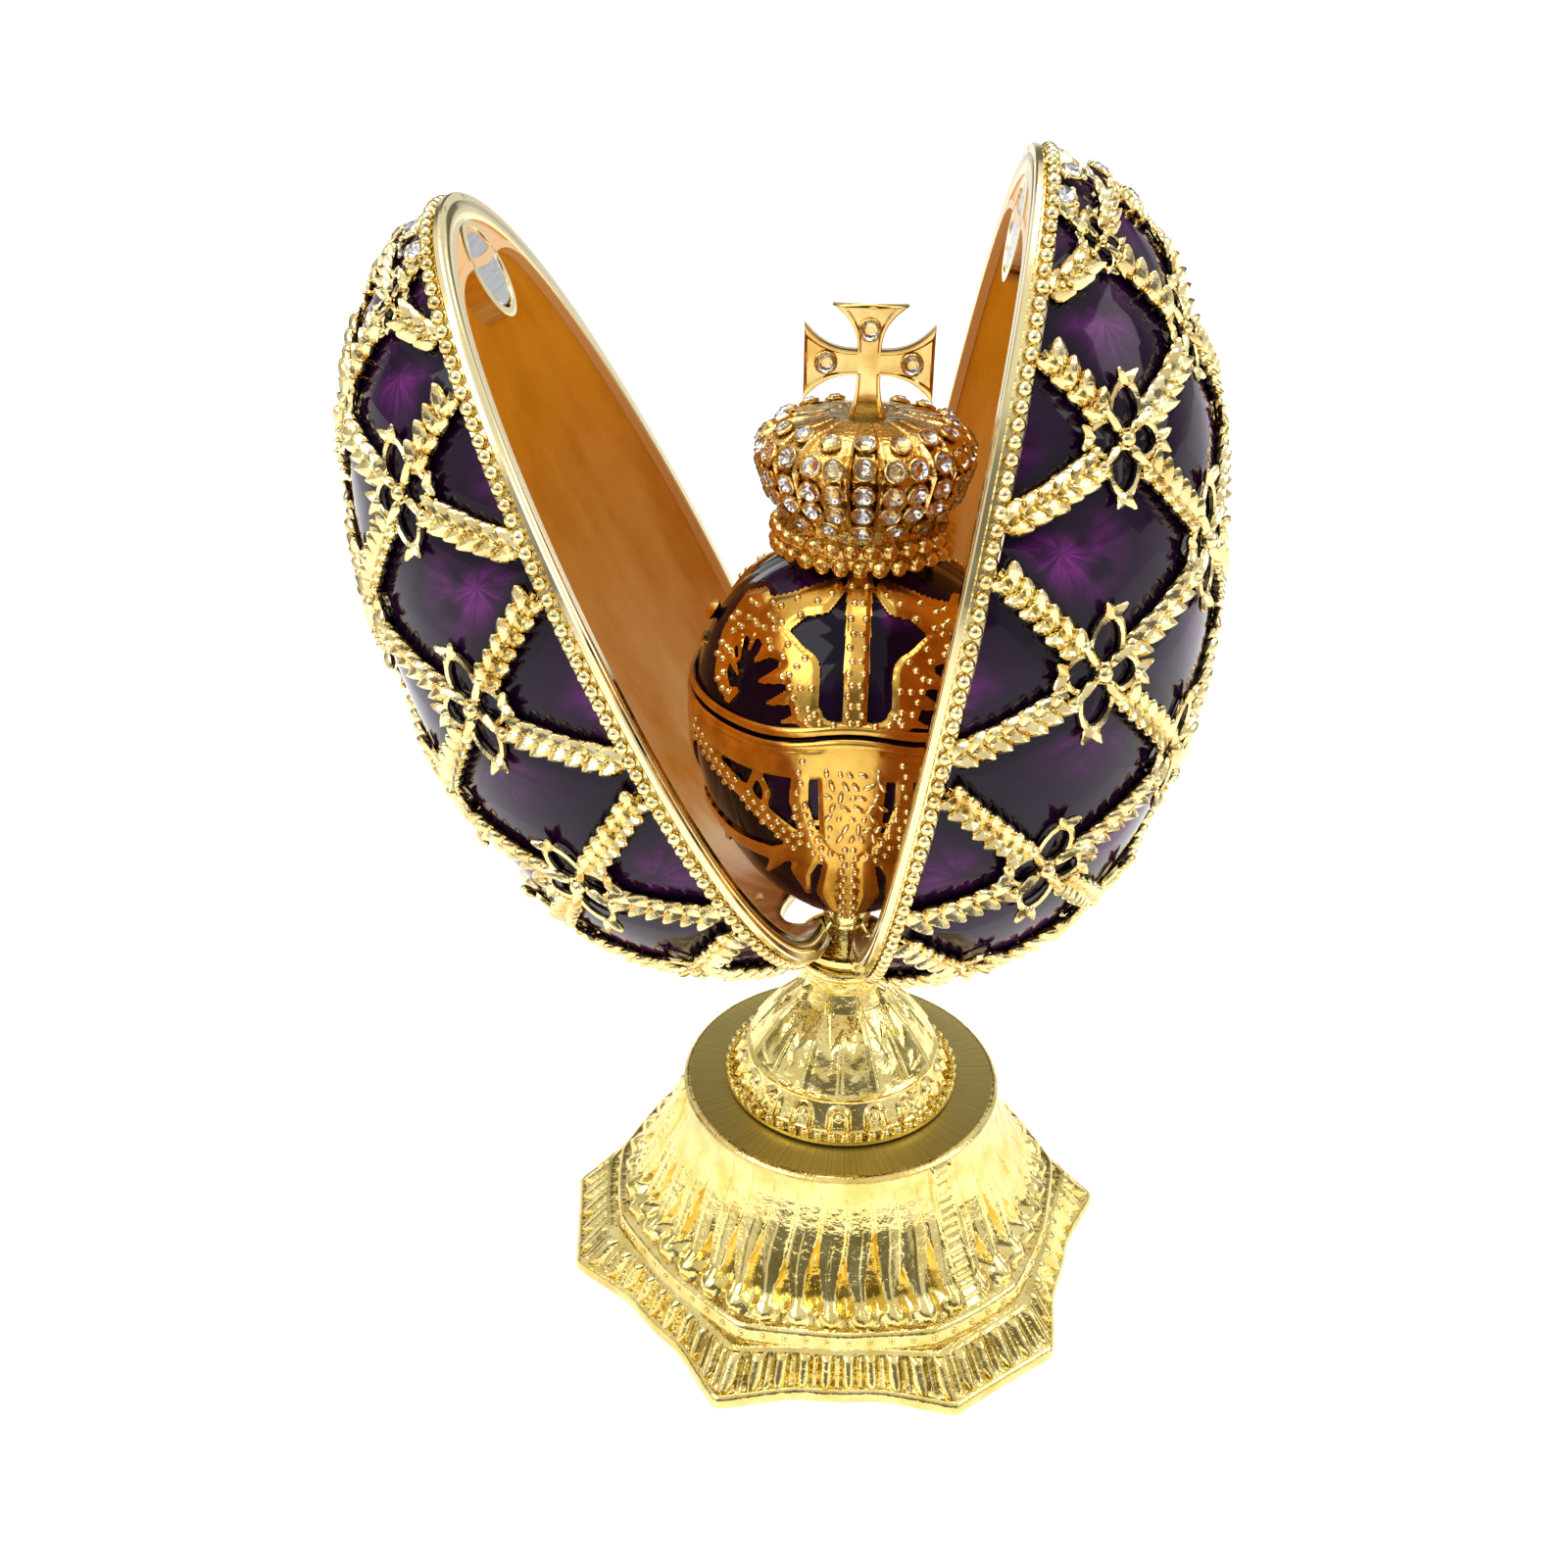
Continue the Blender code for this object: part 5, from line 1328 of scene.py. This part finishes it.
class EGGBOX_OT_small_egg(Operator):
    """Build the small egg's enamelled cup and lid with their gold relief"""

    bl_idname = "eggbox.small_egg"
    bl_label = "Small egg"

    def execute(self, context):
        egg = SmallEgg()
        gap = 0.00015
        cup = shell_body(egg, egg.bottom, egg.seam - gap, 120, 40, False, True)
        add_piece("cup_enamel", cup, ["small egg enamel"], "root",
                  ["small_egg_cup"])
        lid = shell_body(egg, egg.seam + gap, egg.top, 120, 26, True, False)
        add_piece("lid_enamel", lid, ["small egg enamel"], "root",
                  ["small_egg_lid"])
        self.dress_lid(egg)
        self.dress_cup(egg)
        return {"FINISHED"}

    def seam_ridge(self, egg, shape, offset, thickness):
        """A rounded ridge that follows the wavy seam at an offset."""
        def place(across, up):
            angle = 2.0 * math.pi * across
            around = 2.0 * math.pi * up
            height = egg.seam + egg.rise(angle) + offset + thickness * math.sin(around)
            return egg.point(angle, height, 0.75 * thickness * (1.0 + math.cos(around)))
        join(shape, closed_body(sheet(144, 10, place), cap=False))

    def dress_lid(self, egg):
        """Ridge, dotted strap, scrolls and leaf teeth on the lid, and its side studs."""
        relief = Relief(egg, LID_STROKES, 0.0012, egg.top - egg.seam - 0.0002)
        shape = relief.plate(400, 64)
        pearl = bead(7, 5)
        relief.stipple(shape, pearl, 1.35, 0.00054, 1)
        self.seam_ridge(egg, shape, 0.0009, 0.00062)
        for angle in (0.0, math.pi):
            stud = egg.place(angle, egg.seam + 0.0088, (0.0, 1.0), egg.relief)
            stamp(shape, cut_stone(), stud @ scaled(0.0016, 0.0016, 0.0018))
        add_piece("lid_relief", shape, ["amber gold", "pale gold"], "root", smooth=45.0)

    def dress_cup(self, egg):
        """Ridge, belts, shield, dotted straps, loops and leaves on the cup."""
        relief = Relief(egg, CUP_STROKES, egg.bottom + 0.0030 - egg.seam, -0.0012)
        shape = relief.plate(400, 84)
        pearl = bead(7, 5)
        for stroke in (3, 2, 4):
            dotted = Relief(egg, (CUP_STROKES[stroke],), relief.low, relief.high)
            dotted.stipple(shape, pearl, 1.35, 0.00052, 1)
        chance = random.Random(3)
        for row in range(7):
            for column in range(-2, 3):
                height = egg.seam - 0.0030 - 0.0016 * row
                aside = 0.0015 * (column + 0.5 * (row % 2)) + chance.uniform(-0.0003, 0.0003)
                mark = Matrix.Rotation(chance.uniform(-1.2, 1.2), 4, "Z") \
                    @ scaled(chance.uniform(0.0005, 0.0011), 0.0004, 0.0004)
                for middle in (-0.5 * math.pi, 0.5 * math.pi):
                    spot = egg.place(middle + aside / egg.radius(height), height, (0.0, 1.0),
                                     0.95 * egg.relief)
                    stamp(shape, pearl, spot @ mark, 1)
        self.seam_ridge(egg, shape, -0.0009, 0.00062)
        join(shape, turned([
            (egg.bottom, egg.foot - 0.0002, 3), (egg.bottom + 0.0008, egg.foot + 0.0016, 3),
            (egg.bottom + 0.0022, egg.foot + 0.0034, 3), (egg.bottom + 0.0036, egg.foot + 0.0046, 3),
            (egg.bottom + 0.0040, egg.foot + 0.0040, 2), (egg.bottom + 0.0030, egg.foot, 1)], 64))
        add_piece("cup_relief", shape, ["amber gold", "pale gold"], "root", smooth=45.0)


# Crown and cross

class EGGBOX_OT_crown(Operator):
    """Build the arched crown with its set stones, and the flared cross"""

    bl_idname = "eggbox.crown"
    bl_label = "Crown and cross"

    def execute(self, context):
        sizes = context.scene.egg_crown
        base = sizes.base
        bulge = base + sizes.bulge
        top = base + sizes.height
        waist_top = base + sizes.band_height
        points = [
            (base, sizes.band_radius - 0.0012, 3),
            (base + 0.15 * sizes.band_height, sizes.band_radius - 0.0003, 4),
            (base + 0.85 * sizes.band_height, sizes.band_radius - 0.0003, 4),
            (waist_top, sizes.waist + 0.0004, 3),
            (blend(waist_top, bulge, 0.15), sizes.waist, 10),
            (blend(waist_top, bulge, 0.5), blend(sizes.waist, sizes.radius, 0.62), 10),
            (bulge, sizes.radius, 10),
            (blend(bulge, top, 0.28), blend(sizes.radius, sizes.shoulder, 0.42), 4),
            (blend(bulge, top, 0.5), sizes.shoulder, 6),
            (blend(bulge, top, 0.70), blend(sizes.shoulder, sizes.lip, 0.45), 4),
            (blend(bulge, top, 0.84), sizes.lip, 6),
            (top, 0.55 * sizes.lip, 4),
            (top - 0.0004, 0.25 * sizes.lip, 2),
            (top - 0.0004, 0.0008, 1)]

        def shift(zone, part, angle):
            spacing = 2.0 * math.pi / sizes.arches
            local = ((angle + math.pi / 2.0) / spacing + 0.5) % 1.0 - 0.5
            strength = {3: 0.3 * part, 4: blend(0.3, 1.0, part), 5: 1.0, 10: 1.0 - 0.4 * part,
                        11: 0.6 * (1.0 - part)}
            amount = strength.get(zone, 1.0 if 5 < zone < 10 else 0.0)
            ridge = 0.0010 * hump(abs(local), 0.165, 0.045)
            groove = -0.0005 * hump(abs(local), 0.235, 0.05)
            panel = 0.0004 * hump(local - 0.5 if local > 0 else local + 0.5, 0.0, 0.32)
            return amount * (ridge + groove + panel), 0.0
        crown = turned(points, 256, shift)
        self.add_cross(sizes, crown)
        pearl = bead(8, 6)
        for row, drop in ((0.22, 0.0), (0.86, 0.5)):
            number = 28
            for index in range(number):
                angle = 2.0 * math.pi * (index + drop) / number
                spot = Vector(((sizes.band_radius - 0.0001) * math.cos(angle),
                               (sizes.band_radius - 0.0001) * math.sin(angle),
                               base + row * sizes.band_height))
                stamp(crown, pearl, Matrix.Translation(spot) @ scaled(0.00122), 0)
        stones = bmesh.new()
        gem = cut_stone()
        collar = loop_ring(0.12, 0.0, 14)
        mirror = foil()
        for place in self.stone_places(sizes):
            stamp(stones, gem, place @ scaled(sizes.stone))
            stamp(crown, collar, place @ scaled(1.04 * sizes.stone, 1.04 * sizes.stone, 1.6 * sizes.stone))
            stamp(crown, mirror, place @ scaled(sizes.stone), 1)
        replaced = [f"crown_stone_{index}" for index in range(1, sizes.arches + 1)]
        replaced += [f"cross_stone_{index}" for index in (1, 2, 3)]
        add_piece("crown_stones", stones, ["clear crystal"], "root", replaced, 5.0)
        add_piece("crown", crown, ["warm gold", "stone foil", "cross gold"], "root",
                  ["crown_and_cross"])
        return {"FINISHED"}

    def surface(self, sizes, height):
        """The crown's plain radius at a height over its base."""
        waist_top = sizes.band_height
        knots = [
            (waist_top, sizes.waist), (blend(waist_top, sizes.bulge, 0.15), sizes.waist),
            (blend(waist_top, sizes.bulge, 0.5), blend(sizes.waist, sizes.radius, 0.62)),
            (sizes.bulge, sizes.radius),
            (blend(sizes.bulge, sizes.height, 0.5), sizes.shoulder),
            (blend(sizes.bulge, sizes.height, 0.84), sizes.lip)]
        for low, high in zip(knots, knots[1:]):
            if height <= high[0]:
                return blend(low[1], high[1], (height - low[0]) / (high[0] - low[0]))
        return sizes.lip

    def stone_places(self, sizes):
        """Places of the stones on the arches, on the panels between and on the cross."""
        places = []
        for arch in range(sizes.arches):
            middle = 2.0 * math.pi * arch / sizes.arches - math.pi / 2.0
            for height in (0.0058, 0.0085, 0.0112, 0.0139, 0.0160):
                places.append(self.on_crown(sizes, middle, height, 0.0007))
            panel = middle + math.pi / sizes.arches
            for height, asides in ((0.0060, (0.0,)), (0.0084, (-0.5, 0.5)), (0.0110, (-0.52, 0.52)),
                                   (0.0136, (-0.5, 0.5)), (0.0158, (0.0,))):
                for aside in asides:
                    turn = panel + aside * 0.0029 / self.surface(sizes, height)
                    places.append(self.on_crown(sizes, turn, height, 0.0007))
        front = Vector((0.0, -1.0, 0.0))
        for x, z in ((0.0, 0.58 * sizes.cross_top), (-0.66 * sizes.cross_side, 0.0),
                     (0.66 * sizes.cross_side, 0.0)):
            spot = Vector((x, -0.5 * sizes.cross_depth, sizes.cross_centre + z))
            places.append(look_along(spot, front))
        return places

    def on_crown(self, sizes, angle, height, lift):
        """A matrix on the crown's surface with Z outwards."""
        radius = self.surface(sizes, height)
        slope = (self.surface(sizes, height + 0.0006) - self.surface(sizes, height - 0.0006)) / 0.0012
        outward = Vector((math.cos(angle), math.sin(angle), -slope)).normalized()
        spot = Vector((radius * math.cos(angle), radius * math.sin(angle), sizes.base + height))
        return look_along(spot + outward * lift, outward)

    def add_cross(self, sizes, crown):
        """The cross: four flared arms with dished faces that run out of a small hub."""
        half_depth = 0.5 * sizes.cross_depth
        waist = sizes.cross_waist
        reach_down = sizes.cross_centre - sizes.base - sizes.height + 0.0012
        stand_up = Matrix.Translation((0.0, 0.0, sizes.cross_centre)) \
            @ Matrix.Rotation(math.pi / 2.0, 4, "X")
        ring = ((1.0, 0.0), (1.0, 0.80), (0.93, 1.0), (0.78, 1.0), (0.68, 0.74), (0.0, 0.66),
                (-0.68, 0.74), (-0.78, 1.0), (-0.93, 1.0), (-1.0, 0.80), (-1.0, 0.0),
                (-1.0, -0.80), (-0.93, -1.0), (0.0, -1.0), (0.93, -1.0), (1.0, -0.80))
        last = 16
        for reach, turn, end in (
                (sizes.cross_side, 0.0, sizes.cross_end), (sizes.cross_top, 0.5, sizes.cross_end),
                (sizes.cross_side, 1.0, sizes.cross_end), (reach_down, 1.5, 0.6 * sizes.cross_end)):

            def place(across, up):
                side, deep = ring[round(across * len(ring)) % len(ring)]
                row = round(up * (last + 2))
                part = min(row / last, 1.0)
                half = waist + (end - waist) * part ** 2.6
                bow = 0.07 * reach * (1.0 - side * side) if row >= last else 0.0
                inset = 0.0003 if row == last + 1 else 0.0
                closing = 0.0 if row == last + 2 else 1.0
                return Vector((blend(0.9 * waist, reach, part) - bow, side * closing * (half - inset),
                               deep * closing * (half_depth - inset)))
            arm = closed_body(sheet(len(ring), last + 2, place))
            bmesh.ops.transform(
                arm, matrix=stand_up @ Matrix.Rotation(math.pi * turn, 4, "Z"), verts=arm.verts)
            for face in arm.faces:
                face.material_index = 2
            join(crown, arm)
        hub = bmesh.new()
        bmesh.ops.create_cube(hub, size=2.0, matrix=stand_up @ scaled(waist, waist, 0.70 * half_depth))
        for face in hub.faces:
            face.material_index = 2
        join(crown, hub)


# Stand

class EGGBOX_OT_dome(Operator):
    """Build the leaf-carved dome, its neck and the rolled collar"""

    bl_idname = "eggbox.dome"
    bl_label = "Dome and neck"

    def execute(self, context):
        sizes = context.scene.egg_stand
        base = sizes.foot_height + 0.0003
        band_low = base + 0.0012
        band_top = base + 0.0060
        shoulder = base + 0.0125
        collar = sizes.neck_top - 0.0022
        throat = blend(shoulder, collar, 0.72)
        points = [
            (base, sizes.dome_radius - 0.0002, 2), (base + 0.0003, sizes.dome_radius, 3),
            (base + 0.0009, sizes.dome_radius, 2), (band_low, sizes.dome_radius - 0.0014, 2),
            (band_low + 0.0003, sizes.dome_radius - 0.0018, 14),
            (band_top - 0.0006, sizes.ridge_radius + 0.0004, 3),
            (band_top, sizes.ridge_radius + 0.0006, 3),
            (band_top + 0.0008, sizes.ridge_radius - 0.0004, 18),
            (blend(band_top, shoulder, 0.5), blend(sizes.ridge_radius, sizes.shoulder_radius, 0.45), 18),
            (shoulder, sizes.shoulder_radius, 16),
            (blend(shoulder, throat, 0.5), blend(sizes.shoulder_radius, sizes.neck_radius, 0.72), 10),
            (throat, sizes.neck_radius, 6), (collar, sizes.neck_radius + 0.0002, 3),
            (collar + 0.0005, sizes.collar_radius - 0.0003, 3),
            (collar + 0.0011, sizes.collar_radius, 3),
            (collar + 0.0018, sizes.collar_radius - 0.0002, 2),
            (sizes.neck_top, sizes.collar_radius - 0.0006, 2), (sizes.neck_top, 0.0010, 1)]

        def shift(zone, part, angle):
            if zone == 4:
                return 0.0007 * self.arcade(part, angle * 18.0 / math.pi), 0.0
            if zone in (7, 8, 9, 10):
                rise = (zone - 7 + part) / 4.0
                return self.leaves(rise, angle), 0.0
            return 0.0, 0.0
        dome = turned(points, 432, shift)
        pearl = bead(8, 6)
        for index in range(54):
            angle = 2.0 * math.pi * index / 54.0
            spot = Vector(((sizes.dome_radius - 0.0006) * math.cos(angle),
                           (sizes.dome_radius - 0.0006) * math.sin(angle), base + 0.0014))
            stamp(dome, pearl, Matrix.Translation(spot) @ scaled(0.0007))
        add_piece("dome", dome, ["stand gold"], "root", ["dome_and_neck"], 50.0)
        return {"FINISHED"}

    def arcade(self, part, wave):
        """Relief of the lower band: small arches with a dot in each."""
        local = (wave / 2.0) % 1.0 - 0.5
        arch = hump(math.hypot(local * 1.5, max(part - 0.55, 0.0) * 1.5), 0.36, 0.13)
        dot = hump(math.hypot(local * 1.6, (part - 0.45) * 1.4), 0.0, 0.18)
        return arch + 0.8 * dot

    def leaves(self, rise, angle):
        """Relief of pointed leaves, tall ones between short ones."""
        total = 0.0
        for number, shift_by, top, depth in ((8, 0.0, 0.95, 0.0011), (8, 0.5, 0.62, 0.0008)):
            local = ((angle * number / (2.0 * math.pi)) + shift_by) % 1.0 - 0.5
            across = abs(local) * 2.0
            width = max(0.0, 1.0 - (rise / top) ** 1.6) * 0.92
            if width <= 0.0 or across > width:
                continue
            body = math.sqrt(max(0.0, 1.0 - (across / width) ** 2))
            lobes = 0.16 * math.cos(26.0 * rise + 5.0 * across)
            rib = 0.35 * hump(across, 0.0, 0.12)
            total = max(total, depth * (0.75 * body + lobes * across + rib))
        return total - 0.0003


def corner_share(angle):
    """How far the foot's outline reaches towards its corners, from 0 to 1."""
    spacing = math.pi / 3.0
    lobe = round(angle / spacing)
    distance = abs(angle - lobe * spacing)
    if lobe % 2 == 0:
        broad = math.radians(12.0)
        if distance < broad:
            return 0.8 + 0.2 * (distance / broad) ** 2
        distance -= broad
    away = math.hypot(distance / math.radians(16.5), 0.08) - 0.08
    return max(0.0, 1.0 - away) ** 1.7


class EGGBOX_OT_foot(Operator):
    """Build the lobed foot with its leaf skirt, step band and tongue moulding"""

    bl_idname = "eggbox.foot"
    bl_label = "Foot"

    def execute(self, context):
        sizes = context.scene.egg_stand
        tongue_top = sizes.edge + sizes.tongue
        step_top = tongue_top + sizes.step
        inset = sizes.foot_radius - sizes.tongue_inset
        skirt_top = sizes.foot_height - 0.0008
        side = sizes.foot_radius
        zones = [
            (0.0, side - 0.0008, 2, 1.0), (0.0004, side - 0.0001, 3, 1.0),
            (0.7 * sizes.edge, side, 2, 1.0), (0.95 * sizes.edge, side - 0.0004, 2, 0.97),
            (sizes.edge, side - 0.0010, 12, 0.94), (tongue_top - 0.0004, inset - 0.0001, 2, 0.56),
            (tongue_top, inset + 0.0004, 2, 0.52), (tongue_top + 0.0004, inset, 2, 0.44),
            (tongue_top + 0.0005, sizes.step_radius + 0.0003, 4, 0.30),
            (step_top - 0.0004, sizes.step_radius, 2, 0.26),
            (step_top, sizes.step_radius - 0.0004, 2, 0.24),
            (step_top + 0.0001, sizes.skirt_radius + 0.0002, 12, 0.20)]
        skirt = []
        for part in (0.12, 0.26, 0.42, 0.6, 0.8):
            reach = (1.0 - part) ** 1.5
            skirt.append((blend(step_top, skirt_top, part),
                          blend(sizes.ring_radius, sizes.skirt_radius, reach), 9, 0.20 * reach))
        zones += skirt
        zones += [(skirt_top, sizes.ring_radius + 0.0002, 2, 0.0),
                  (skirt_top + 0.0003, sizes.ring_radius + 0.0003, 2, 0.0),
                  (sizes.foot_height - 0.0001, sizes.ring_radius - 0.0002, 2, 0.0),
                  (sizes.foot_height, sizes.ring_radius - 0.0006, 2, 0.0),
                  (sizes.foot_height - 0.0001, sizes.ring_radius - 0.0016, 3, 0.0),
                  (sizes.foot_height, 0.0170, 2, 0.0), (sizes.foot_height, 0.0010, 1, 0.0)]
        points = [zone[:3] for zone in zones]
        reaches = [zone[3] for zone in zones]

        def shift(zone, part, angle):
            reach = blend(reaches[zone], reaches[min(zone + 1, len(reaches) - 1)], part)
            out = reach * sizes.reach * corner_share(angle)
            if zone == 4:
                out += self.tongues(part, angle * sizes.tongues / (2.0 * math.pi))
            if 11 <= zone <= 16:
                height = (step_top, *[row[0] for row in skirt], skirt_top)[zone - 11:zone - 9]
                rise = (blend(height[0], height[1], part) - step_top) / (skirt_top - step_top)
                out += self.skirt(rise, angle, sizes.leaves)
            return out, 0.0
        foot = turned(points, 20 * sizes.leaves, shift)
        for face in foot.faces:
            spot = face.calc_center_median()
            flat = face.normal.z > 0.9 and spot.z > sizes.foot_height - 0.0003
            if flat and math.hypot(spot.x, spot.y) < sizes.ring_radius - 0.0008:
                face.material_index = 1
        pearl = bead(8, 5)
        for index in range(sizes.tongues):
            angle = 2.0 * math.pi * (index + 0.5) / sizes.tongues
            radius = sizes.step_radius + 0.28 * sizes.reach * corner_share(angle)
            spot = Vector((radius * math.cos(angle), radius * math.sin(angle),
                           tongue_top + 0.55 * sizes.step))
            stamp(foot, pearl, Matrix.Translation(spot) @ scaled(0.00055))
        bmesh.ops.rotate(foot, verts=foot.verts, matrix=Matrix.Rotation(-sizes.turn, 3, "Z"))
        add_piece("foot_casting", foot, ["stand gold", "ring gold"], "root",
                  ["foot"], 50.0)
        return {"FINISHED"}

    def tongues(self, part, wave):
        """Relief of the tongue moulding: rounded tongues, each within a fine frame."""
        across = abs(wave % 1.0 - 0.5) * 2.0
        bottom = max(0.0, 0.34 - part) / 0.34
        width = 0.58 * math.sqrt(max(0.0, 1.0 - bottom * bottom))
        frame_line = 0.0006 * hump(across, 0.90, 0.16)
        if across < width:
            return 0.0012 * (1.0 - (across / width) ** 2) ** 0.5 - 0.0003
        return frame_line - 0.0003

    def skirt(self, rise, angle, number):
        """Relief of the skirt: broad leaves parted by pointed grooves, and ladder straps."""
        lobe = round(angle / (2.0 * math.pi / 3.0)) * 2.0 * math.pi / 3.0
        strap = abs(angle - lobe) * blend(0.034, 0.0245, rise)
        if strap < 0.0019:
            rungs = 0.5 + 0.5 * math.cos(2.0 * math.pi * 16.0 * rise)
            edge = hump(strap, 0.0016, 0.0004)
            return 0.0005 * edge + 0.0003 * (rungs if strap < 0.0013 else 0.0) + 0.0002
        wave = angle * number / (2.0 * math.pi) + 0.08 * math.sin(9.0 * rise + 2.0 * angle)
        parting = math.floor(wave + 0.5)
        across = abs(wave - math.floor(wave) - 0.5) * 2.0
        away = 1.0 - across
        apex = (0.50, 0.36, 0.56, 0.42, 0.62, 0.33, 0.47)[parting % 7]
        up = min(1.0, max(0.0, (rise - 0.10) / (apex - 0.10)))
        foot_end = smooth_step(0.04, 0.13, rise)
        wide = 0.02 + 0.62 * (1.0 - up) ** 0.75 * foot_end
        groove = -0.0015 * foot_end * (1.0 - up ** 3) * max(0.0, 1.0 - (away / wide) ** 2) ** 0.7
        groove += 0.0003 * hump(away, wide + 0.04, 0.10) * foot_end * (1.0 - up)
        body = 0.0004 * math.sqrt(max(0.0, 1.0 - across ** 2)) * (1.0 - 0.8 * smooth_step(0.3, 0.8, rise))
        tip = 0.0011 * hump(rise, 0.07, 0.10) * max(0.0, 1.0 - (across / 0.8) ** 2)
        crease = 0.00022 * hump(away, 0.0, 0.16) * (1.0 - smooth_step(0.85, 0.98, rise))
        vein = 0.00016 * hump(across, 0.0, 0.14) * (1.0 - smooth_step(0.5, 0.7, rise))
        return groove + body + tip + vein - crease - 0.0002


# Studio

class EGGBOX_OT_stage(Operator):
    """Set the pale floor, the soft lights and the camera at the photo's angle"""

    bl_idname = "eggbox.stage"
    bl_label = "Studio"

    def execute(self, context):
        self.lay_floor()
        self.set_world(context.scene)
        for name, spot, size, radiance in (
                ("key softbox", (-0.45, -0.35, 0.60), 0.42, 3.2),
                ("fill softbox", (0.55, -0.10, 0.45), 0.34, 2.4),
                ("top softbox", (0.02, 0.10, 0.75), 0.45, 2.6)):
            data = bpy.data.lights.new(name, "AREA")
            data.shape = "SQUARE"
            data.size = size
            data.energy = math.pi * size * size * radiance
            lamp = bpy.data.objects.new(name, data)
            lamp.location = spot
            aim = Vector((0.0, 0.0, 0.09)) - Vector(spot)
            lamp.rotation_euler = aim.to_track_quat("-Z", "Y").to_euler()
            context.collection.objects.link(lamp)
        self.set_camera(context.scene)
        return {"FINISHED"}

    def lay_floor(self):
        """A wide flat white floor."""
        shape = bmesh.new()
        bmesh.ops.create_grid(shape, x_segments=1, y_segments=1, size=15.0)
        new_material("studio floor", Base_Color=(0.92, 0.92, 0.92, 1.0), Roughness=0.7,
                     Emission_Color=(1.0, 1.0, 1.0, 1.0), Emission_Strength=0.42)
        mesh = bpy.data.meshes.new("studio_floor")
        shape.to_mesh(mesh)
        shape.free()
        mesh.materials.append(bpy.data.materials["studio floor"])
        floor = bpy.data.objects.new("studio_floor", mesh)
        bpy.context.collection.objects.link(floor)

    def set_world(self, scene):
        """A white tent with darker gaps towards the viewer, for contrast in the metal."""
        world = bpy.data.worlds.new("studio")
        scene.world = world
        world.use_nodes = True
        build = Nodes(world.node_tree)
        back = world.node_tree.nodes["Background"]
        where = build.add("ShaderNodeTexCoord").outputs["Generated"]
        apart = build.add("ShaderNodeSeparateXYZ", {0: where}).outputs
        around = build.math("ARCTAN2", apart["X"], build.math("MULTIPLY", apart["Y"], -1.0))
        turn = build.math("MULTIPLY", around, 0.5 / math.pi)
        turn = build.math("ADD", turn, 0.5)
        walls = build.ramp(
            turn, (0.0, 0.9), (0.16, 0.8), (0.22, 0.25), (0.27, 0.9), (0.38, 0.95), (0.43, 0.22),
            (0.57, 0.22), (0.61, 0.95), (0.70, 0.85), (0.76, 0.22), (0.83, 0.85), (1.0, 0.9))
        high = build.ramp(apart["Z"], (0.42, 0.0), (0.62, 1.0))
        shade = build.mix(high, walls, (1.0, 1.0, 1.0, 1.0))
        behind = build.ramp(turn, (0.0, 1.0), (0.10, 1.0), (0.14, 0.0), (0.86, 0.0), (0.90, 1.0))
        level = build.ramp(apart["Z"], (0.20, 0.0), (0.28, 1.0), (0.60, 1.0), (0.68, 0.0))
        dim = build.math("MULTIPLY", behind, level)
        shade = build.mix(dim, shade, (0.16, 0.15, 0.14, 1.0))
        build.tree.links.new(shade, back.inputs["Color"])
        back.inputs["Strength"].default_value = 0.85

    def set_camera(self, scene):
        """The photo's camera: its place, its aim and its lens."""
        data = bpy.data.cameras.new("photo camera")
        data.sensor_width = 36.0
        data.lens = 35.48
        data.clip_start = 0.01
        camera = bpy.data.objects.new("photo camera", data)
        pitch = math.radians(-28.62)
        yaw = math.radians(-2.87)
        roll = 0.016
        ahead = Vector((math.sin(yaw) * math.cos(pitch), math.cos(yaw) * math.cos(pitch),
                        math.sin(pitch)))
        right = Vector((math.cos(yaw), -math.sin(yaw), 0.0))
        up = right.cross(ahead)
        right, up = (right * math.cos(roll) + up * math.sin(roll),
                     up * math.cos(roll) - right * math.sin(roll))
        turn = Matrix((right, up, -ahead)).transposed()
        camera.matrix_world = Matrix.Translation((0.0, -0.1941, 0.1882)) @ turn.to_4x4()
        bpy.context.collection.objects.link(camera)
        scene.camera = camera
        scene.view_settings.view_transform = "Standard"


class EGGBOX_PT_builder(Panel):
    """The box's pieces, in the order that they are built"""

    bl_idname = "EGGBOX_PT_builder"
    bl_label = "Jewelled Egg Box"
    bl_space_type = "VIEW_3D"
    bl_region_type = "UI"
    bl_category = "Egg Box"

    def draw(self, context):
        for operator in OPERATORS:
            self.layout.operator(operator.bl_idname)


OPERATORS = (
    EGGBOX_OT_stage, EGGBOX_OT_finishes, EGGBOX_OT_shells, EGGBOX_OT_rims, EGGBOX_OT_lattice,
    EGGBOX_OT_tips, EGGBOX_OT_hinges, EGGBOX_OT_small_egg, EGGBOX_OT_crown, EGGBOX_OT_dome,
    EGGBOX_OT_foot)
CLASSES = (*SETTINGS.values(), *OPERATORS, EGGBOX_PT_builder)


def register():
    """Register the classes and hang the settings on the scene."""
    for entry in CLASSES:
        bpy.utils.register_class(entry)
    for name, kind in SETTINGS.items():
        setattr(bpy.types.Scene, name, PointerProperty(type=kind))


def unregister():
    """Take the settings off the scene and unregister the classes."""
    for name in SETTINGS:
        delattr(bpy.types.Scene, name)
    for entry in reversed(CLASSES):
        bpy.utils.unregister_class(entry)


def main():
    """Build every piece in order."""
    register()
    for operator in OPERATORS:
        group_name, action = operator.bl_idname.split(".")
        getattr(getattr(bpy.ops, group_name), action)()


if __name__ == "__main__":
    main()
